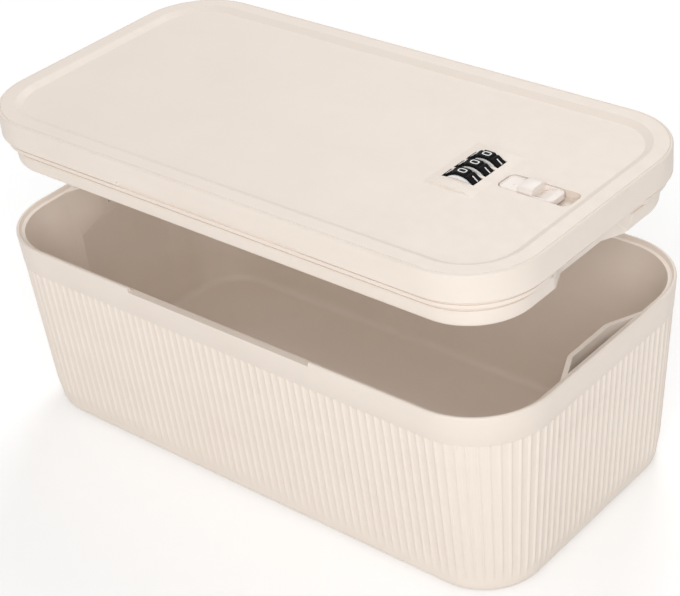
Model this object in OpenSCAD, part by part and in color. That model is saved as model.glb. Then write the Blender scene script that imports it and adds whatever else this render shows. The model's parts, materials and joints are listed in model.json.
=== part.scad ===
// Lidded storage box with a three-wheel combination lock in its lid.
// The origin is the middle of the underside. +X is the lock end, +Z is up, and -Y is the front.
// The lid is drawn lifted straight up by lid_raise. Its joint lowers it onto the ledge inside the rim.

/* [Box] */
// Length over the rim
box_w = 310; // [296:1:330]
// Depth over the rim
box_d = 164; // [154:1:184]
// Height to the top of the rim
box_h = 102; // [94:1:125]
// Corner radius of the rim
corner_r = 38; // [34:1:44]
// How far the foot lies inside the rim on each side
foot_inset = 7.5; // [5:0.5:9]
// Radius of the rounded bottom edge
foot_r = 7; // [5:0.5:9]
// Thickness of the wall at the rim
wall = 4.1; // [3.8:0.1:4.8]
// Thickness of the floor
floor_t = 3; // [2.5:0.5:5]
// Height of the plain band under the rim
band_h = 15; // [11:1:20]
// How far the band stands out from the wall between the ribs
band_step = 0.9; // [0.8:0.1:1.2]
// Height of the lip that stands round the lid
lip_h = 2; // [1.5:0.1:2.4]
// Width of that lip
lip_w = 2.2; // [2:0.1:2.4]

/* [Ribs] */
// Distance from rib to rib
rib_pitch = 4.5; // [4:0.1:6]
// Height of a rib
rib_h = 0.7; // [0.5:0.1:0.8]
// Height over which the ribs fade in at the foot
rib_fade = 9; // [6:1:14]

/* [End pockets] */
// How far a pocket reaches into the box
pocket_reach = 7.5; // [7:0.1:8.5]
// Half length of a pocket's flat face
pocket_flat = 14.5; // [13:0.5:17]
// Half length of a pocket where it meets the end wall
pocket_base = 31; // [28:0.5:34]
// Thickness of a pocket's wall
pocket_t = 2.2; // [1.8:0.1:2.4]
// Depth of a pocket's upright part
pocket_drop = 17; // [16:1:22]
// Height of the slope that runs a pocket out into the wall
pocket_slope = 11; // [8:1:14]

/* [Finger recess] */
// Length of the gap in the rim's lip
recess_len = 110; // [90:1:130]
// Length of the notch in the lid's skirt
notch_len = 107; // [80:1:120]
// Height of the notch in the skirt
notch_h = 2.2; // [1.6:0.1:3]
// Depth of the notch in the skirt
notch_d = 1.3; // [0.8:0.1:1.6]

/* [Lid] */
// How far the lid is drawn above its closed place
lid_raise = 56; // [40:1:80]
// Clearance between the lid and the lip
lid_gap = 0.3; // [0.2:0.1:0.5]
// Height of the skirt
skirt_h = 13; // [12.6:0.1:15]
// Thickness of the skirt
skirt_t = 2.4; // [2:0.1:2.6]
// Radius of the lid's top edge
edge_r = 1.6; // [1:0.1:2]
// Distance from the lid's edge to the sunk panel
panel_inset = 12; // [10:0.5:12.5]
// Width of the slope round the panel
panel_slope = 3.5; // [2:0.5:4]
// Depth of the panel under the rim
panel_drop = 2; // [1.6:0.1:2.2]
// Thickness of the panel
panel_t = 2.4; // [2.2:0.1:2.6]

/* [Lid tray] */
// Depth of the plug under the skirt
plug_h = 15; // [14.8:0.1:16]
// Clearance from the plug to the box wall
plug_gap = 3.2; // [2.6:0.1:3.6]
// Draft of the plug on each side
plug_draft = 0.8; // [0.5:0.1:1.2]
// Thickness of the tray's wall
tray_t = 2.2; // [1.8:0.1:2.4]
// Thickness of the tray's floor
tray_floor = 2.4; // [2.3:0.1:2.6]
// Height of the tray's step under the skirt
step_h = 2.2; // [1.8:0.1:3]
// Height of the collar inside the skirt
collar_h = 2.5; // [2:0.1:3]
// Clearance round a pocket
pocket_gap = 2.4; // [1.8:0.1:2.8]

/* [Lock] */
// Distance from the middle of the wheels to the end of the lid
lock_end = 65.5; // [64.5:0.5:68.5]
// Radius of a number wheel
wheel_r = 11.5; // [11.2:0.1:11.7]
// How far the wheels stand out of the panel
wheel_rise = 4; // [3.6:0.1:4.3]
// Width of a wheel's numbered face
face_w = 5.8; // [5.5:0.1:5.9]
// Width of a wheel's index collar
ring_w = 1; // [0.8:0.1:1.1]
// Distance from wheel to wheel
wheel_pitch = 9.2; // [9.1:0.1:9.5]
// Radius of the axle
axle_r = 2; // [1.8:0.1:2.2]
// Radius of the sleeve inside a wheel
sleeve_r = 6; // [5.8:0.1:6.2]
// Radius of the sleeve's gate disc
cam_r = 4.9; // [4.8:0.05:4.95]
// Running clearance of every turning fit
fit = 0.05; // [0.02:0.01:0.08]

/* [Slide] */
// Length of the slide button
button_l = 28.4; // [27:0.1:29]
// Width of the slide button
button_w = 12; // [11:0.1:13]
// Travel of the slide button
travel = 7; // [6.8:0.1:7.2]
// Thickness of the two bolts
bolt_t = 2.2; // [2:0.1:2.3]
// Width of the two bolts
bolt_w = 20; // [18:0.5:21]
// Clearance of sliding faces
slide_gap = 0.2; // [0.15:0.05:0.3]
// Radius of the rocker from its pivot to a pin
rocker_r = 8; // [7.8:0.1:8.4]

/* [Hidden] */
eps = 0.01;
$fn = 64;

cream = [0.91, 0.87, 0.82];
cream_dark = [0.80, 0.73, 0.65];
steel = [0.72, 0.73, 0.75];
brass = [0.80, 0.66, 0.35];
black = [0.06, 0.06, 0.07];
grey = [0.45, 0.45, 0.47];

// Heights and outlines of the box
draft = foot_inset / box_h;
seat_z = box_h - lip_h;
rib_z = box_h - band_h;
mid_x = box_w / 2 - corner_r;
mid_y = box_d / 2 - corner_r;
n_long = round(2 * mid_x / rib_pitch);
n_deep = round(2 * mid_y / rib_pitch);
n_corner = round(PI / 2 * (corner_r - foot_inset / 2) / rib_pitch);
rim_round = 1;
over = 1;

// The end wall's inner face at the ledge, and the pocket's face
wall_x = box_w / 2 - draft * lip_h - wall;
pocket_x = wall_x - pocket_reach;
pocket_run = (pocket_base - pocket_flat) / pocket_reach;
pocket_z = seat_z - pocket_drop;
pocket_root = 1.5;
pocket_over = 20;
pocket_side_w = 2 * pocket_base + pocket_over;
bolt_play = 0.8;

// Outlines of the lid
lid_w = box_w - 2 * (lip_w + lid_gap);
lid_d = box_d - 2 * (lip_w + lid_gap);
lid_r = corner_r - lip_w - lid_gap;
panel_z = skirt_h - panel_drop;
under_z = panel_z - panel_t;
tray_in = skirt_t + 0.1;
plug_in = box_w / 2 - wall_x + plug_gap - (lip_w + lid_gap);
tray_z = tray_floor - plug_h;

// Screws that join the tray to the cover
post_z = 2;
post_r = 3.5;
post_end = 24;
post_edge = [27, 14];
post_share = 0.36;
lid_screw_r = 1.45;
lid_head = [2.8, 1.6];
head_z = 1.9 - plug_h;
hole_play = 0.05;

// Places in the lock
lock_x = lid_w / 2 - lock_end;
axis_z = panel_z + wheel_rise - wheel_r;
units = [-1, 0, 1];
unit_a = -(face_w + ring_w) / 2;
ring_r = wheel_r - 0.9;
cam_w = 1.2;
cam_a = unit_a - cam_w - 0.1;
finger_w = 1;
finger_a = cam_a + 0.1;
washer_w = 0.6;
washer_a = cam_a - washer_w - 0.1;
ring_out_r = 3.4;
reset_travel = 1;
finger_top = axis_z - cam_r + 0.65;
gate_flat = 1;
hub_short = 0.6;
cheek_a = -wheel_pitch + cam_a - 1.1;
cheek_b = wheel_pitch - unit_a + reset_travel + 3.8;
cheek_t = 2.4;
cage_x = wheel_r + 2.5;
cage_t = 2;
cage_z = -7;
pad_z = 7;
pad_in = cage_x + cage_t + 3;
pad_out = cage_x + 0.6;
pad_w = 46;
well_gap = 0.4;
well_a = -wheel_pitch + unit_a - 0.5;
scoop_chord = 36;
scoop_depth = 1.8;
scoop_w = 44;
bolt_z = tray_z + slide_gap;
bolt_top = bolt_z + bolt_t;

// Places of the bolts, the rocker and the button
bolt_end = pocket_x - pocket_gap - 0.3;
tip_cut = [3, 2];
tip_slot = [9, 5, 0.3];
rocker_off = 57;
rocker_x = lock_x - rocker_off;
pin_r = 1.5;
half_turn = asin(travel / 2 / rocker_r);
button_x = lock_x + cage_x + 2.6;
button_floor = panel_z - 3;
button_boss = [4, 6, 1.6];
slot_r = 3.4;
slot_mid = button_x + (button_l + travel) / 2;
stem_x = button_x + 5.5;
stem_l = 10;
stem_w = 5;
stem_gap = 0.4;
stem_screws = [stem_x + 2.5, stem_x + stem_l - 2.5];
comb_x = lock_x - travel / 2;

// Block with rounded corners whose outline grows by flare on each side on the way up
module flared_block(w, d, r, flare, h) {
    for (x = [-1, 1], y = [-1, 1])
        translate([x * (w / 2 - r), y * (d / 2 - r), 0])
            cylinder(r1 = r - flare, r2 = r, h = h);
    rotate([90, 0, 90]) translate([0, 0, r - w / 2]) linear_extrude(w - 2 * r)
        polygon([[flare - d / 2, 0], [d / 2 - flare, 0], [d / 2, h], [-d / 2, h]]);
    rotate([90, 0, 0]) translate([0, 0, r - d / 2]) linear_extrude(d - 2 * r)
        polygon([[flare - w / 2, 0], [w / 2 - flare, 0], [w / 2, h], [-w / 2, h]]);
}

// Upright plate with rounded corners, centred in plan
module round_plate(l, w, r, h) {
    translate([-l / 2 + r, -w / 2, 0]) cube([l - 2 * r, w, h]);
    translate([-l / 2, -w / 2 + r, 0]) cube([l, w - 2 * r, h]);
    for (x = [-1, 1], y = [-1, 1])
        translate([x * (l / 2 - r), y * (w / 2 - r), 0]) cylinder(r = r, h = h);
}

// Upright rod between two heights
module rod(x, y, r, z0, z1) {
    translate([x, y, z0]) cylinder(r = r, h = z1 - z0, $fn = 32);
}

// Rod along Y between two depths
module rod_y(x, z, r, y0, y1) {
    translate([x, y1, z]) rotate([90, 0, 0]) cylinder(r = r, h = y1 - y0);
}

// Block between two corners
module block(a, b) {
    translate(a) cube(b - a);
}

// Length and width of a screw's cross recess, as shares of its head's radius
cross = [1.3, 0.3];

// Screw that points up, with its head's underside at z
module screw(x, y, z, r, len, head_r, head_h) {
    difference() {
        union() {
            rod(x, y, r, z, z + len);
            rod(x, y, head_r, z - head_h, z);
        }
        for (a = [0, 90]) translate([x, y, z - head_h]) rotate(a)
            cube([head_r * cross[0], head_r * cross[1], head_h], center = true);
    }
}

// Rings of the wall: plain ones with one point a rib, ribbed ones with three
rib_profile = [[0, 0], [0.5, 0], [0.75, 1]];
centres = [[-mid_x, -mid_y], [mid_x, -mid_y], [mid_x, mid_y], [-mid_x, mid_y]];
counts = [n_long, n_deep, n_long, n_deep];
function wall_ring(z, inset, h, profile) = [
    for (k = [0:3], part = [0, 1]) let (n = part == 0 ? counts[k] : n_corner, a = 90 * k - 90)
        for (i = [0:n - 1], p = profile)
            let (f = (i + p[0]) / n, r = corner_r - inset + h * p[1],
                 c = part == 0 ? centres[k] * (1 - f) + centres[(k + 1) % 4] * f : centres[(k + 1) % 4],
                 b = part == 0 ? a : a + 90 * f)
                [c[0] + r * cos(b), c[1] + r * sin(b), z]];
function wall_inset(z) = band_step + draft * (box_h - z);

// Strips between a plain ring at p and a ring at q that lies n points further on
function plain_strip(p, q, n) = [for (i = [0:n - 1]) let (j = (i + 1) % n) [p + i, q + i, q + j, p + j]];
function fade_strip(p, q, n) = [for (i = [0:n - 1])
    let (j = (i + 1) % n, a = q + 3 * i, b = q + 3 * j)
        for (f = [[p + i, a, a + 1], [p + i, a + 1, a + 2], [p + i, a + 2, p + j], [p + j, a + 2, b]]) f];

// Wall from the foot up to just inside the band, with a rounded foot in three steps and the ribs above it
module ribbed_wall() {
    n = 2 * (n_long + n_deep) + 4 * n_corner;
    foot = [for (a = [0, 30, 60, 90]) let (z = foot_r * (1 - cos(a)))
        wall_ring(z, band_step + foot_inset + foot_r * (1 - draft) * (1 - sin(a)) - draft * foot_r * sin(a),
            0, [[0, 0]])];
    rib_a = wall_ring(foot_r + rib_fade, wall_inset(foot_r + rib_fade), rib_h, rib_profile);
    rib_b = wall_ring(rib_z + 1, wall_inset(rib_z + 1), rib_h, rib_profile);
    polyhedron(
        points = concat(foot[0], foot[1], foot[2], foot[3], rib_a, rib_b, [[0, 0, 0], [0, 0, rib_z + 1]]),
        faces = concat([for (i = [0:n - 1]) [10 * n, i, (i + 1) % n]],
            plain_strip(0, n, n), plain_strip(n, 2 * n, n), plain_strip(2 * n, 3 * n, n),
            fade_strip(3 * n, 4 * n, n), plain_strip(4 * n, 7 * n, 3 * n),
            [for (i = [0:3 * n - 1]) [10 * n + 1, 7 * n + (i + 1) % (3 * n), 7 * n + i]]));
}

// Plan of a pocket, or of its hollow when it is thinned by t, at the +X end
module pocket_plan(t, extra) {
    cut = t * sqrt(1 + pow(pocket_run, 2));
    x0 = pocket_x + t;
    x1 = wall_x + extra;
    y0 = pocket_flat + pocket_run * t - cut;
    y1 = pocket_flat + pocket_run * (x1 - pocket_x) - cut;
    polygon([[x0, -y0], [x1, -y1], [x1, y1], [x0, y0]]);
}

// Side view of a pocket, with its sloping underside
module pocket_side(t) {
    x1 = wall_x + pocket_root;
    top = seat_z + (t > 0 ? over : 0);
    foot = pocket_z - pocket_slope + 2 * t;
    translate([0, pocket_side_w / 2, 0]) rotate([90, 0, 0]) linear_extrude(pocket_side_w)
        polygon([[pocket_x + t, top], [pocket_x + t, pocket_z + t], [wall_x - pocket_root, foot],
                 [x1, foot], [x1, top]]);
}

// Walls of the pocket at the +X end, with the slot that its bolt enters
module pocket_walls() {
    slot_z = seat_z + bolt_z;
    difference() {
        intersection() {
            translate([0, 0, pocket_z - pocket_slope]) linear_extrude(pocket_drop + pocket_slope)
                pocket_plan(0, pocket_root);
            pocket_side(0);
        }
        intersection() {
            translate([0, 0, pocket_z - pocket_slope]) linear_extrude(pocket_drop + pocket_slope + 2 * over)
                pocket_plan(pocket_t, pocket_root + 0.1);
            pocket_side(pocket_t);
        }
        block([pocket_x - over, -bolt_w / 2 - bolt_play, slot_z - bolt_play],
            [pocket_x + pocket_t + over / 2, bolt_w / 2 + bolt_play, slot_z + bolt_t + bolt_play]);
    }
}

// Inside of the box below the ledge
module cavity() {
    inset = wall + draft * lip_h;
    drop = seat_z - floor_t;
    translate([0, 0, floor_t])
        flared_block(box_w - 2 * inset, box_d - 2 * inset, corner_r - inset, draft * drop, drop);
}

module box_body() {
    color(cream) difference() {
        union() {
            ribbed_wall();
            translate([0, 0, rib_z])
                flared_block(box_w, box_d, corner_r, draft * (band_h - rim_round), band_h - rim_round);
            translate([0, 0, box_h - rim_round])
                flared_block(box_w - rim_round, box_d - rim_round, corner_r - rim_round / 2,
                    -rim_round / 2, rim_round);
        }
        difference() {
            union() {
                cavity();
                translate([0, 0, seat_z - eps])
                    flared_block(box_w - 2 * lip_w, box_d - 2 * lip_w, corner_r - lip_w, 0, lip_h + over);
            }
            pocket_walls();
            mirror([1, 0, 0]) pocket_walls();
        }
        block([-recess_len / 2, -box_d / 2 - over, seat_z],
            [recess_len / 2, lip_w + over / 2 - box_d / 2, box_h + over]);
    }
}

// Places of the screws that join the tray to the cover, from the lid's own size
function lid_posts() = [for (x = [-1, -post_share, post_share, 1], y = [-1, 1])
    [x * (lid_w / 2 - post_end), y * (lid_d / 2 - (abs(x) == 1 ? post_edge[0] : post_edge[1]))]];

module lift() {
    translate([0, 0, seat_z + lid_raise]) children();
}

module lid_cover() {
    body_h = skirt_h - edge_r;
    color(cream) lift() difference() {
        union() {
            difference() {
                union() {
                    flared_block(lid_w, lid_d, lid_r, 0, body_h);
                    translate([0, 0, body_h]) edge_round();
                }
                translate([0, 0, -over])
                    flared_block(lid_w - 2 * skirt_t, lid_d - 2 * skirt_t, lid_r - skirt_t, 0, under_z + over);
            }
            difference() {
                block([lock_x - pad_in, -pad_w / 2, pad_z], [lock_x + pad_out, pad_w / 2, under_z + eps]);
                block([lock_x - sleeve_r, -wheel_pitch + cam_a - over / 2, pad_z - over],
                    [lock_x + sleeve_r, well_a + over, under_z]);
            }
            translate([slot_mid, 0, button_floor - button_boss[2]])
                round_plate(button_l + travel + button_boss[0], button_w + button_boss[1], 3,
                    under_z - button_floor + button_boss[2] + 0.1);
            for (p = lid_posts()) rod(p[0], p[1], post_r, post_z, under_z + eps);
            for (p = housing_posts) rod(p[0], p[1], housing_post_r, ear_top, under_z + eps);
        }
        translate([0, 0, panel_z])
            flared_block(lid_w - 2 * (panel_inset - panel_slope), lid_d - 2 * (panel_inset - panel_slope),
                lid_r - panel_inset + panel_slope, panel_slope, panel_drop + eps);
        scoop();
        rod_y(lock_x, axis_z, wheel_r + well_gap, well_a, -well_a);
        translate([slot_mid, 0, button_floor])
            round_plate(button_l + travel + 2 * slide_gap, button_w + 4 * slide_gap, slot_r,
                skirt_h - button_floor);
        block([stem_x - stem_gap, -stem_w / 2 - stem_gap, button_floor - button_boss[2] - over],
            [stem_x + stem_l + travel + stem_gap, stem_w / 2 + stem_gap, button_floor + over]);
        block([-notch_len / 2, -lid_d / 2 - over, -over], [notch_len / 2, notch_d - lid_d / 2, notch_h]);
        for (p = lid_posts()) rod(p[0], p[1], lid_screw_r + hole_play, post_z - over, under_z - 1);
        for (p = housing_posts) rod(p[0], p[1], housing_screw_r + hole_play, ear_top - over, under_z + 0.2);
    }
}

// Rounded top edge of the lid in two steps
module edge_round() {
    for (i = [0, 1]) {
        in_a = edge_r * (1 - cos(45 * i));
        in_b = edge_r * (1 - cos(45 * (i + 1)));
        z_a = edge_r * sin(45 * i);
        z_b = edge_r * sin(45 * (i + 1));
        translate([0, 0, z_a])
            flared_block(lid_w - 2 * in_b, lid_d - 2 * in_b, lid_r - in_b, in_a - in_b, z_b - z_a);
    }
}

// Shallow hollow round the wheels, curved along X
module scoop() {
    r = (pow(scoop_chord / 2, 2) + pow(scoop_depth, 2)) / (2 * scoop_depth);
    translate([lock_x, scoop_w / 2, panel_z - scoop_depth + r]) rotate([90, 0, 0])
        cylinder(r = r, h = scoop_w, $fn = 180);
}

// Room that the tray leaves round a pocket, widened by t
module pocket_room(t, z0, z1) {
    grow = pocket_gap + t;
    cut = grow * sqrt(1 + pow(pocket_run, 2));
    x0 = pocket_x - grow;
    x1 = box_w / 2;
    y0 = pocket_flat - pocket_run * grow + cut;
    y1 = y0 + pocket_run * (x1 - x0);
    translate([0, 0, z0]) linear_extrude(z1 - z0) polygon([[x0, -y0], [x1, -y1], [x1, y1], [x0, y0]]);
}

module pocket_rooms(t, z0, z1) {
    pocket_room(t, z0, z1);
    mirror([1, 0, 0]) pocket_room(t, z0, z1);
}

// Bolt guides and the opening under the lock
guide_in = 25.5;
guide_off = [65, 28];
guide_x = [guide_in - bolt_end, rocker_x - guide_off[0], rocker_x + guide_off[1]];
guide_y = bolt_w / 2 + 2.8;
guide_leg = 0.4;
guide_foot = 5;
guide_half = 4;
guide_t = 1.2;
window_l = 40;
window_w = 48;
window_r = 3;
plate_over = [14, 6];
plate_t = 1.4;
plate_r = 4;
rim_gap = 0.3;
plate_screws = [for (x = [-1, 1], y = [-1, 1]) [lock_x + x * (window_l / 2 + 3), y * (window_w / 2 - 4)]];
plate_head = [1.9, 0.6];
plate_post = [2.6, 3];
pivot_r = 2;
pivot_z = 1.2 - plug_h;
pivot_boss_r = 3.2;
small_r = 0.95;
small_z = 1 - plug_h;

// Slot in the tray's end wall for the tip of the bolt at the +X end
module bolt_slot() {
    block([bolt_end - tip_slot[0], -bolt_w / 2 - tip_slot[2], bolt_z - slide_gap],
        [bolt_end + tip_slot[1], bolt_w / 2 + tip_slot[2], bolt_top + tip_slot[2]]);
}

module lid_tray() {
    plug_w = lid_w - 2 * plug_in;
    plug_d = lid_d - 2 * plug_in;
    plug_r = lid_r - plug_in;
    color(cream_dark) lift() difference() {
        union() {
            difference() {
                union() {
                    translate([0, 0, -step_h])
                        flared_block(lid_w - 2 * tray_in, lid_d - 2 * tray_in, lid_r - tray_in, 0, step_h + collar_h);
                    translate([0, 0, -plug_h])
                        flared_block(plug_w, plug_d, plug_r, plug_draft, plug_h - step_h);
                }
                pocket_rooms(0, -plug_h - over, 0);
                difference() {
                    translate([0, 0, tray_z])
                        flared_block(plug_w - 2 * tray_t, plug_d - 2 * tray_t, plug_r - tray_t,
                            plug_draft, -tray_z + collar_h + over);
                    pocket_rooms(tray_t, tray_z - over, collar_h + 2 * over);
                }
            }
            for (p = lid_posts()) rod(p[0], p[1], post_r, tray_z - eps, post_z);
            rod(rocker_x, 0, pivot_boss_r, tray_z - eps, bolt_top);
            for (p = plate_screws) rod(p[0], p[1], plate_post[0], tray_z - eps, tray_z + plate_post[1]);
        }
        bolt_slot();
        mirror([1, 0, 0]) bolt_slot();
        translate([lock_x, 0, -plug_h - over])
            round_plate(window_l, window_w, window_r, tray_floor + 1.1 * over);
        translate([lock_x, 0, -plug_h - over])
            round_plate(window_l + plate_over[0], window_w + plate_over[1], plate_r, plate_t + over);
        for (p = lid_posts()) {
            rod(p[0], p[1], lid_screw_r + hole_play, -plug_h - over, post_z + over);
            rod(p[0], p[1], lid_head[0] + 0.2, -plug_h - over, head_z);
        }
        for (p = plate_screws) rod(p[0], p[1], small_r + hole_play, -plug_h - over, tray_z + 2.4);
        rod(rocker_x, 0, pivot_r + 0.01, pivot_z, bolt_top + over);
        for (x = guide_x, s = [-1, 1]) rod(x, s * guide_y, small_r + hole_play, small_z, tray_z + over);
        for (x = click_x) rod(x, click_y, small_r + hole_play, small_z, tray_z + over);
    }
}

module lid_screws() {
    color(steel) lift() for (p = lid_posts())
        screw(p[0], p[1], head_z, lid_screw_r, under_z - 1.4 - head_z, lid_head[0], lid_head[1]);
}

module lock_access_plate() {
    color(cream_dark) lift() difference() {
        translate([lock_x, 0, -plug_h]) round_plate(window_l + plate_over[0] - 2 * rim_gap,
            window_w + plate_over[1] - 2 * rim_gap, plate_r - 0.2, plate_t);
        block([lock_x - tab_w / 2 - 0.5, tab_a - 0.7, -plug_h - over],
            [lock_x + tab_w / 2 + 0.5, tab_a + tab_foot + reset_travel + 0.6, -plug_h + 2 * plate_t]);
        for (p = plate_screws) {
            rod(p[0], p[1], small_r + 0.15, -plug_h - over, -plug_h + 2 * plate_t);
            rod(p[0], p[1], plate_head[0] + 0.2, -plug_h - over, -plug_h + plate_head[1] + 0.1);
        }
    }
}

module access_screws() {
    color(steel) lift() for (p = plate_screws)
        screw(p[0], p[1], plate_head[1] + 0.1 - plug_h, small_r, 3.2, plate_head[0], plate_head[1]);
}

// Lock housing: an open frame with a cheek at each end of the wheels
ear_top = 5;
ear_t = 2;
ear_half = 4;
ear_end = 3.6;
post_in = 5;
post_out = 4.2;
housing_posts = [for (x = [post_in - cage_x, cage_x - post_in],
    y = [cheek_a - cheek_t - post_out, cheek_b + cheek_t + post_out]) [lock_x + x, y]];
housing_post_r = 3.2;
housing_screw_r = 1.15;
housing_head = [2.2, 1.2];
rivet_z = cage_z + 1.7;
rivet_r = 0.9;
rivet_head = [1.3, 0.5];
detent_y = [-9, 9];

module lock_housing() {
    color(grey) lift() difference() {
        union() {
            difference() {
                block([lock_x - cage_x - cage_t, cheek_a - cheek_t, cage_z],
                    [lock_x + cage_x, cheek_b + cheek_t, pad_z]);
                block([lock_x - cage_x, cheek_a, cage_z - over],
                    [lock_x + cage_x - cage_t, cheek_b, pad_z + over]);
            }
            for (p = housing_posts)
                block([p[0] - ear_half, p[1] < 0 ? p[1] - ear_end : cheek_b, ear_top - ear_t],
                    [p[0] + ear_half, p[1] < 0 ? cheek_a : p[1] + ear_end, ear_top]);
        }
        rod_y(lock_x, axis_z, axle_r + fit, cheek_a - cheek_t - over, cheek_b + cheek_t + over);
        for (p = housing_posts)
            rod(p[0], p[1], housing_screw_r + hole_play, ear_top - ear_t - over, ear_top + over);
        for (y = detent_y) translate([lock_x - cage_x - cage_t - over, y, rivet_z]) rotate([0, 90, 0])
            cylinder(r = rivet_r, h = cage_t + 2 * over);
    }
}

module housing_screws() {
    color(steel) lift() for (p = housing_posts)
        screw(p[0], p[1], ear_top - ear_t, housing_screw_r, under_z - ear_top + ear_t,
            housing_head[0], housing_head[1]);
}

// Drive dogs of the sleeves, and the wheels' slots and relief for them
dog_w = 1;
dog_l = 0.6;
dog_t = 0.8;
dog_room = [0.2, 0.3, 0.4];
groove_r = 1.3;
groove_out = 0.6;

// Digit wheel of unit u: numbered face with finger grooves, white index collar, and a bore for its sleeve
module number_wheel(u) {
    y = u * wheel_pitch + unit_a;
    land = dog_t + 0.1;
    relief_r = sleeve_r + dog_l + dog_room[1];
    color(black) lift() difference() {
        union() {
            rod_y(lock_x, axis_z, wheel_r, y + ring_w, y + ring_w + face_w);
            rod_y(lock_x, axis_z, ring_r, y, y + ring_w);
        }
        rod_y(lock_x, axis_z, sleeve_r + fit, y - over, y + ring_w + face_w + over);
        rod_y(lock_x, axis_z, relief_r, y + land, y + land + reset_travel + dog_room[2]);
        translate([lock_x, y, axis_z]) for (i = [0:9]) rotate([0, 36 * i, 0]) {
            translate([-(dog_w + dog_room[0]) / 2, -over, 0])
                cube([dog_w + dog_room[0], land + 1.2 * over, relief_r]);
            rotate([0, 18, 0]) translate([0, face_w + 2 * over, wheel_r + groove_out]) rotate([90, 0, 0])
                cylinder(r = groove_r, h = face_w + 2 * over - ring_w, $fn = 24);
        }
    }
}

// Code sleeve of unit u: hub in the wheel, two drive dogs, and a gate disc with one flat
module code_sleeve(u) {
    y = u * wheel_pitch;
    color(brass) lift() difference() {
        union() {
            rod_y(lock_x, axis_z, sleeve_r, y + unit_a, y - unit_a - hub_short);
            rod_y(lock_x, axis_z, cam_r, y + cam_a, y + unit_a + eps);
            block([lock_x - dog_w / 2, y + unit_a, axis_z - sleeve_r - dog_l],
                [lock_x + dog_w / 2, y + unit_a + dog_t, axis_z + sleeve_r + dog_l]);
        }
        rod_y(lock_x, axis_z, axle_r + fit, y - wheel_pitch, y + wheel_pitch);
        block([lock_x - sleeve_r, y + cam_a - over, axis_z - sleeve_r - over],
            [lock_x + sleeve_r, y + unit_a - 2 * eps, axis_z - cam_r + gate_flat]);
    }
}

module spacer_washers() {
    color(steel) lift() for (u = units) let (y = u * wheel_pitch + washer_a) difference() {
        rod_y(lock_x, axis_z, ring_out_r, y, y + washer_w);
        rod_y(lock_x, axis_z, axle_r, y - over, y + washer_w + over);
    }
}

clip_a = cheek_a - cheek_t - reset_travel - 0.2;
clip_b = cheek_b + cheek_t + 0.1;
clip_w = 0.7;
clip_in = 0.3;
tab_t = 2;
tab_w = 6;
tab_foot = 3;
tab_a = clip_a - clip_w - tab_t - 0.4;

module wheel_axle() {
    color(steel) lift() difference() {
        rod_y(lock_x, axis_z, axle_r, tab_a - 0.2, clip_b + clip_w + 0.8);
        for (y = [clip_a - clip_w, clip_b]) difference() {
            rod_y(lock_x, axis_z, axle_r + over, y, y + clip_w);
            rod_y(lock_x, axis_z, axle_r - clip_in, y - over, y + clip_w + over);
        }
    }
}

module axle_clips() {
    color(steel) lift() for (y = [clip_a - clip_w, clip_b]) difference() {
        rod_y(lock_x, axis_z, ring_out_r, y, y + clip_w);
        rod_y(lock_x, axis_z, axle_r - clip_in, y - over, y + clip_w + over);
        block([lock_x - axle_r / 2, y - over, axis_z - ring_out_r - over],
            [lock_x + axle_r / 2, y + clip_w + over, axis_z - axle_r / 2]);
    }
}

// Coil round the axle that keeps the sleeves pressed home, drawn pressed short
module sleeve_spring() {
    turns = 3;
    steps = 16;
    sides = 6;
    coil_r = 3.1;
    wire_r = 0.3;
    y0 = cheek_b - 0.35;
    rise = -3 / (turns * steps);
    n = turns * steps;
    points = [for (i = [0:n], s = [0:sides - 1])
        let (a = 360 * i / steps, b = 360 * s / sides, r = coil_r + wire_r * cos(b))
            [lock_x + r * cos(a), y0 + rise * i + wire_r * sin(b), axis_z + r * sin(a)]];
    color(steel) lift() polyhedron(points = points, faces = concat(
        [[for (s = [0:sides - 1]) s]],
        [for (i = [0:n - 1], s = [0:sides - 1])
            let (a = i * sides + s, b = i * sides + (s + 1) % sides)
                for (f = [[a, a + sides, b], [b, a + sides, b + sides]]) f],
        [[for (s = [sides - 1:-1:0]) n * sides + s]]));
}

// Leaf with one click finger for each wheel
module detent_spring() {
    x = lock_x - cage_x;
    bump = 1;
    leaf_t = 0.4;
    leaf_half = 12.5;
    finger_half = 2;
    foot_z = [0.2, 3.2];
    color(steel) lift() difference() {
        union() {
            block([x, -leaf_half, cage_z + foot_z[0]], [x + leaf_t, leaf_half, cage_z + foot_z[1]]);
            for (u = units) {
                y = u * wheel_pitch + ring_w / 2;
                block([x, y - finger_half, cage_z + foot_z[1] - 0.2],
                    [x + leaf_t, y + finger_half, axis_z + 1.5 * bump]);
                rod_y(lock_x - wheel_r - 0.3 - bump, axis_z, bump, y - finger_half + 0.2, y + finger_half - 0.2);
            }
        }
        for (y = detent_y) translate([x - over, y, rivet_z]) rotate([0, 90, 0])
            cylinder(r = rivet_r, h = leaf_t + 2 * over);
    }
}

module detent_rivets() {
    x = lock_x - cage_x;
    color(brass) lift() for (y = detent_y) translate([0, y, rivet_z]) rotate([0, 90, 0]) {
        translate([0, 0, x - cage_t]) cylinder(r = rivet_r - 2 * eps, h = cage_t + rivet_head[1]);
        for (z = [x + 0.4, x - cage_t - rivet_head[1]]) translate([0, 0, z])
            cylinder(r = rivet_head[0], h = rivet_head[1]);
    }
}

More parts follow.
